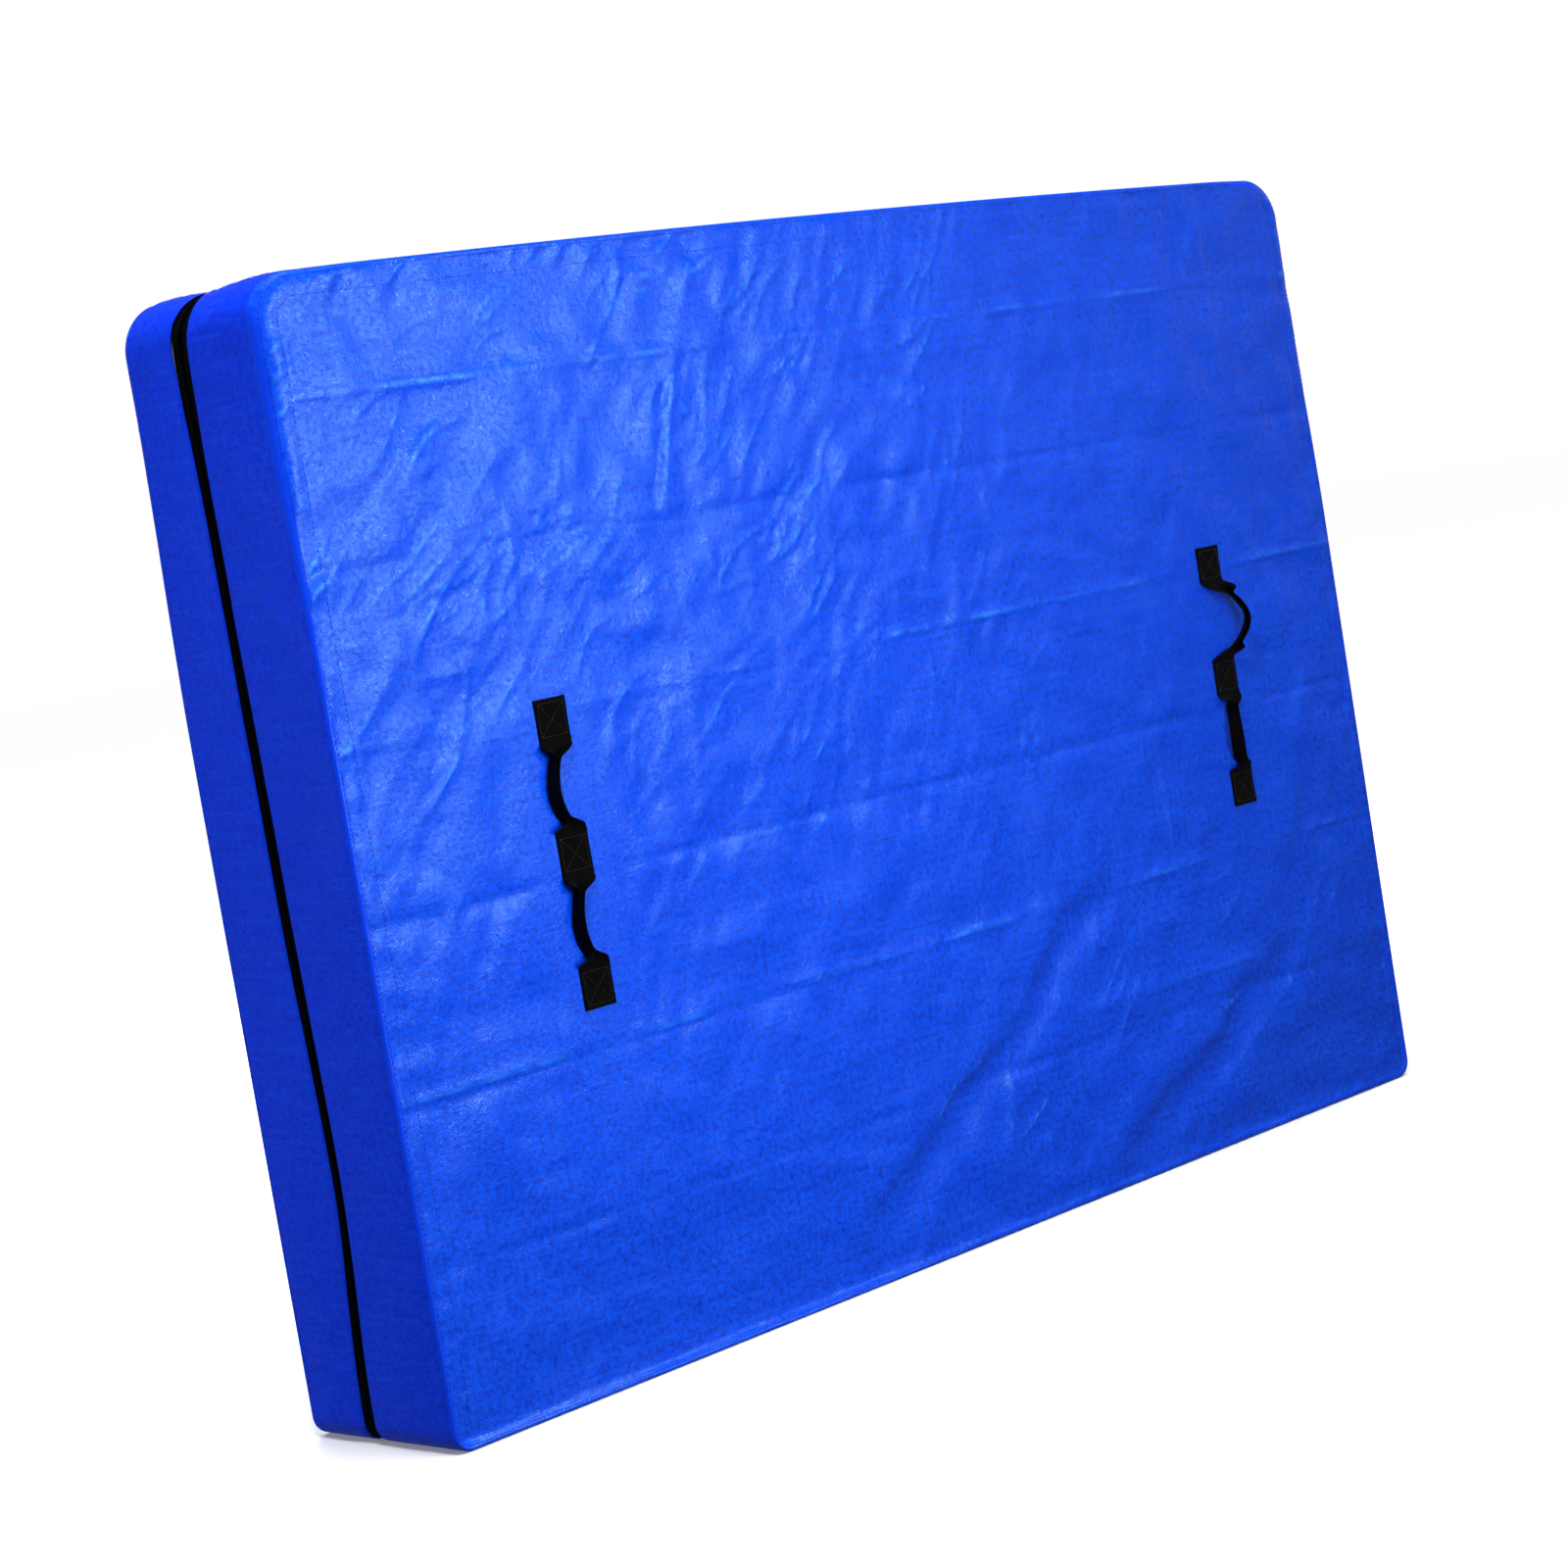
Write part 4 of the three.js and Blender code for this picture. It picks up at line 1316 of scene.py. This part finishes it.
def loop_section(share, lean, bow, height, local_x):
    """The closed section (x, out) of a hand loop, share of the way up it."""
    rise = math.sin(math.pi * share)
    ramp = float(smooth(np.array(min(share, 1 - share) * height / LOOP_GATHER)))
    wide, deep, angle = folded_section(ramp)
    deep = deep * (1 - LOOP_SQUEEZE * ramp)
    turn = (lean + math.copysign(math.pi / 2, -lean)) * ramp
    turn += LOOP_TWIST * math.sin(2 * math.pi * share) * ramp
    across = np.array([math.cos(turn), -math.sin(turn)])
    outward = np.array([math.sin(turn), math.cos(turn)])
    flat_out = STRAP_THICKNESS * 0.8
    rest = flat_out + (LOOP_AXIS - flat_out) * ramp
    reach = bow * rise
    centre = np.array([local_x + reach * math.sin(lean), rest + reach * math.cos(lean)])
    centre = centre - outward * deep.max() / 2 * ramp
    line = centre + wide[:, None] * across + deep[:, None] * outward
    line[:, 1] = np.maximum(line[:, 1], LOOP_CLEARANCE)
    facing = np.cos(angle)[:, None] * outward - np.sin(angle)[:, None] * across
    from_border = 1 - np.abs(np.linspace(-1, 1, len(line)))
    half = STRAP_THICKNESS / 2 * np.minimum(1, 0.45 + 6 * from_border)
    return np.concatenate([line + facing * half[:, None], (line - facing * half[:, None])[::-1]])


def build_loop(face, side, place):
    """A hand loop as two lengths of strap, each bending away from its sewn patch."""
    name = f"{face}_{side}_loop_{place}"
    below, above = ("lower", "middle") if place == "lower" else ("middle", "upper")
    low_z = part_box(f"{face}_{side}_patch_{below}")[1].z
    high_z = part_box(f"{face}_{side}_patch_{above}")[0].z
    middle_x = middle_of(f"{face}_{side}_patch_{below}")[0]
    local_x = -SIDE[face] * middle_x
    height = high_z - low_z
    lean, bow = math.radians(LEANS[side][place]), BOWS[side][place]
    lower_half = ("lower", low_z, 1, np.linspace(-LOOP_TUCK, 0.5, 27))
    upper_half = ("upper", high_z, -1, np.linspace(0.5, 1 + LOOP_TUCK, 27))
    for half, sewn_z, away, shares in (lower_half, upper_half):
        heights = low_z + shares * height
        rings = []
        for share, z in zip(np.clip(shares, 0, 1), heights):
            section = loop_section(share, lean, bow, height, local_x)
            rings.append(np.column_stack([section, np.full(len(section), z)]))
        points = np.array(rings)
        columns = points.shape[1]
        across = np.linspace(-STRAP_HALF, STRAP_HALF, columns // 2)
        across = np.concatenate([across, across[::-1]])
        uv = np.stack(np.meshgrid(across, heights), axis=-1)
        faces = tube_faces(*points.shape[:2])
        strap = add_mesh(f"{name}_{half}_strap", place_on(face, points), faces, WEBBING, uv)
        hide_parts(name)
        start, end = (
            (middle_x, SIDE[face] * HALF_DEPTH, sewn_z + away * distance)
            for distance in (LOOP_FIXED, LOOP_FREE)
        )
        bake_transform(strap)
        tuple(start)
        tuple(end)


# ---- camera, floor and light ----

CAMERA_PLACE = Vector((-3.302, -3.344, 1.046))
CAMERA_HEADING = math.radians(43.53)  # from +Y towards +X
CAMERA_RISE = math.radians(-4.86)
CAMERA_ROLL = math.radians(-9.483)
CAMERA_LENS = 79.5  # millimetres, as is the sensor's width
CAMERA_SENSOR = 36.0
FLOOR_HALF = 30.0
FLOOR_DROP = 0.0005
WORLD_LIGHT = 0.10  # the world's strength on the object, and straight to the camera
BACKDROP = 1.0
# Each lamp: name, place, what it points at, diameter and power in watts.
GLOSS_LAMPS = (
    ("sheen", (1.02, -3.45, 1.42), (-0.85, 0, 1.0), 0.75, 80),
    ("rear_sheen", (1.6, 3.4, 1.9), (0, 0, 0.9), 0.8, 22),
)
SOFT_LAMPS = (
    ("key", (-0.55, -2.05, 0.95), (-0.25, 0, 0.7), 1.0, 37),
    ("rake", (-1.9, -1.7, 3.7), (-0.2, 0, 0.7), 0.8, 88),
    ("left_fill", (-3.6, 2.0, 0.8), (-0.95, 0, 0.6), 1.5, 56),
    ("overhead", (0, 0, 6.0), (0, 0, 0), 3.0, 300),
    ("right_fill", (3.5, -0.5, 1.5), (0.95, 0, 0.7), 1.5, 40),
    ("rear_fill", (1.5, 4.0, 2.6), (0, 0, 0.7), 2.0, 140),
)


def add_camera():
    data = bpy.data.cameras.new("camera")
    data.lens = CAMERA_LENS
    data.sensor_width = CAMERA_SENSOR
    camera = link("camera", data)
    level = Vector((math.sin(CAMERA_HEADING), math.cos(CAMERA_HEADING), 0))
    ahead = level * math.cos(CAMERA_RISE) + Vector((0, 0, math.sin(CAMERA_RISE)))
    right = Vector((level.y, -level.x, 0))
    up = right.cross(ahead)
    rolled_right = right * math.cos(CAMERA_ROLL) + up * math.sin(CAMERA_ROLL)
    rolled_up = up * math.cos(CAMERA_ROLL) - right * math.sin(CAMERA_ROLL)
    turn = Matrix((rolled_right, rolled_up, -ahead)).transposed()
    camera.matrix_world = Matrix.Translation(CAMERA_PLACE) @ turn.to_4x4()
    bpy.context.scene.camera = camera


def add_light(name, place, aim, size, power):
    data = bpy.data.lights.new(name, "AREA")
    data.shape = "DISK"
    data.size = size
    data.energy = power
    light = link(name, data)
    light.location = place
    light.rotation_mode = "QUATERNION"
    light.rotation_quaternion = (Vector(aim) - Vector(place)).to_track_quat("-Z", "Y")
    light.visible_camera = False
    return light


def add_studio():
    """The floor, the backdrop, lamps seen by gloss rays alone and lamps seen by diffuse rays alone."""
    corners = np.array([(-1, -1, 0), (1, -1, 0), (1, 1, 0), (-1, 1, 0)]) * FLOOR_HALF
    floor = add_mesh("floor", corners - [0, 0, FLOOR_DROP], [(0, 1, 2, 3)], floor_material())
    floor.visible_glossy = False
    floor.visible_diffuse = False
    world = bpy.data.worlds.new("studio")
    world.use_nodes = True
    tree = world.node_tree
    path = tree.nodes.new("ShaderNodeLightPath")
    choice = tree.nodes.new("ShaderNodeMapRange")
    choice.inputs["To Min"].default_value = WORLD_LIGHT
    choice.inputs["To Max"].default_value = BACKDROP
    tree.links.new(path.outputs["Is Camera Ray"], choice.inputs["Value"])
    tree.links.new(choice.outputs["Result"], tree.nodes["Background"].inputs["Strength"])
    tree.nodes["Background"].inputs["Color"].default_value = (1, 1, 1, 1)
    bpy.context.scene.world = world
    for lamp in GLOSS_LAMPS:
        add_light(*lamp).visible_diffuse = False
    for lamp in SOFT_LAMPS:
        add_light(*lamp).visible_glossy = False
    bpy.context.scene.view_settings.view_transform = "Standard"


# ---- the whole ----

add_camera()
for face in ("front", "rear"):
    build_panel(face)
    build_panel_stitches(face)
    build_gusset(face)
    build_zip_side(face)
    for side in ("left", "right"):
        for place in PLACES:
            build_patch(face, side, place)
        for place in ("lower", "upper"):
            build_loop(face, side, place)
build_zip_shade_strip()
build_right_end()
build_foam()
dress_zip_metal()
add_studio()
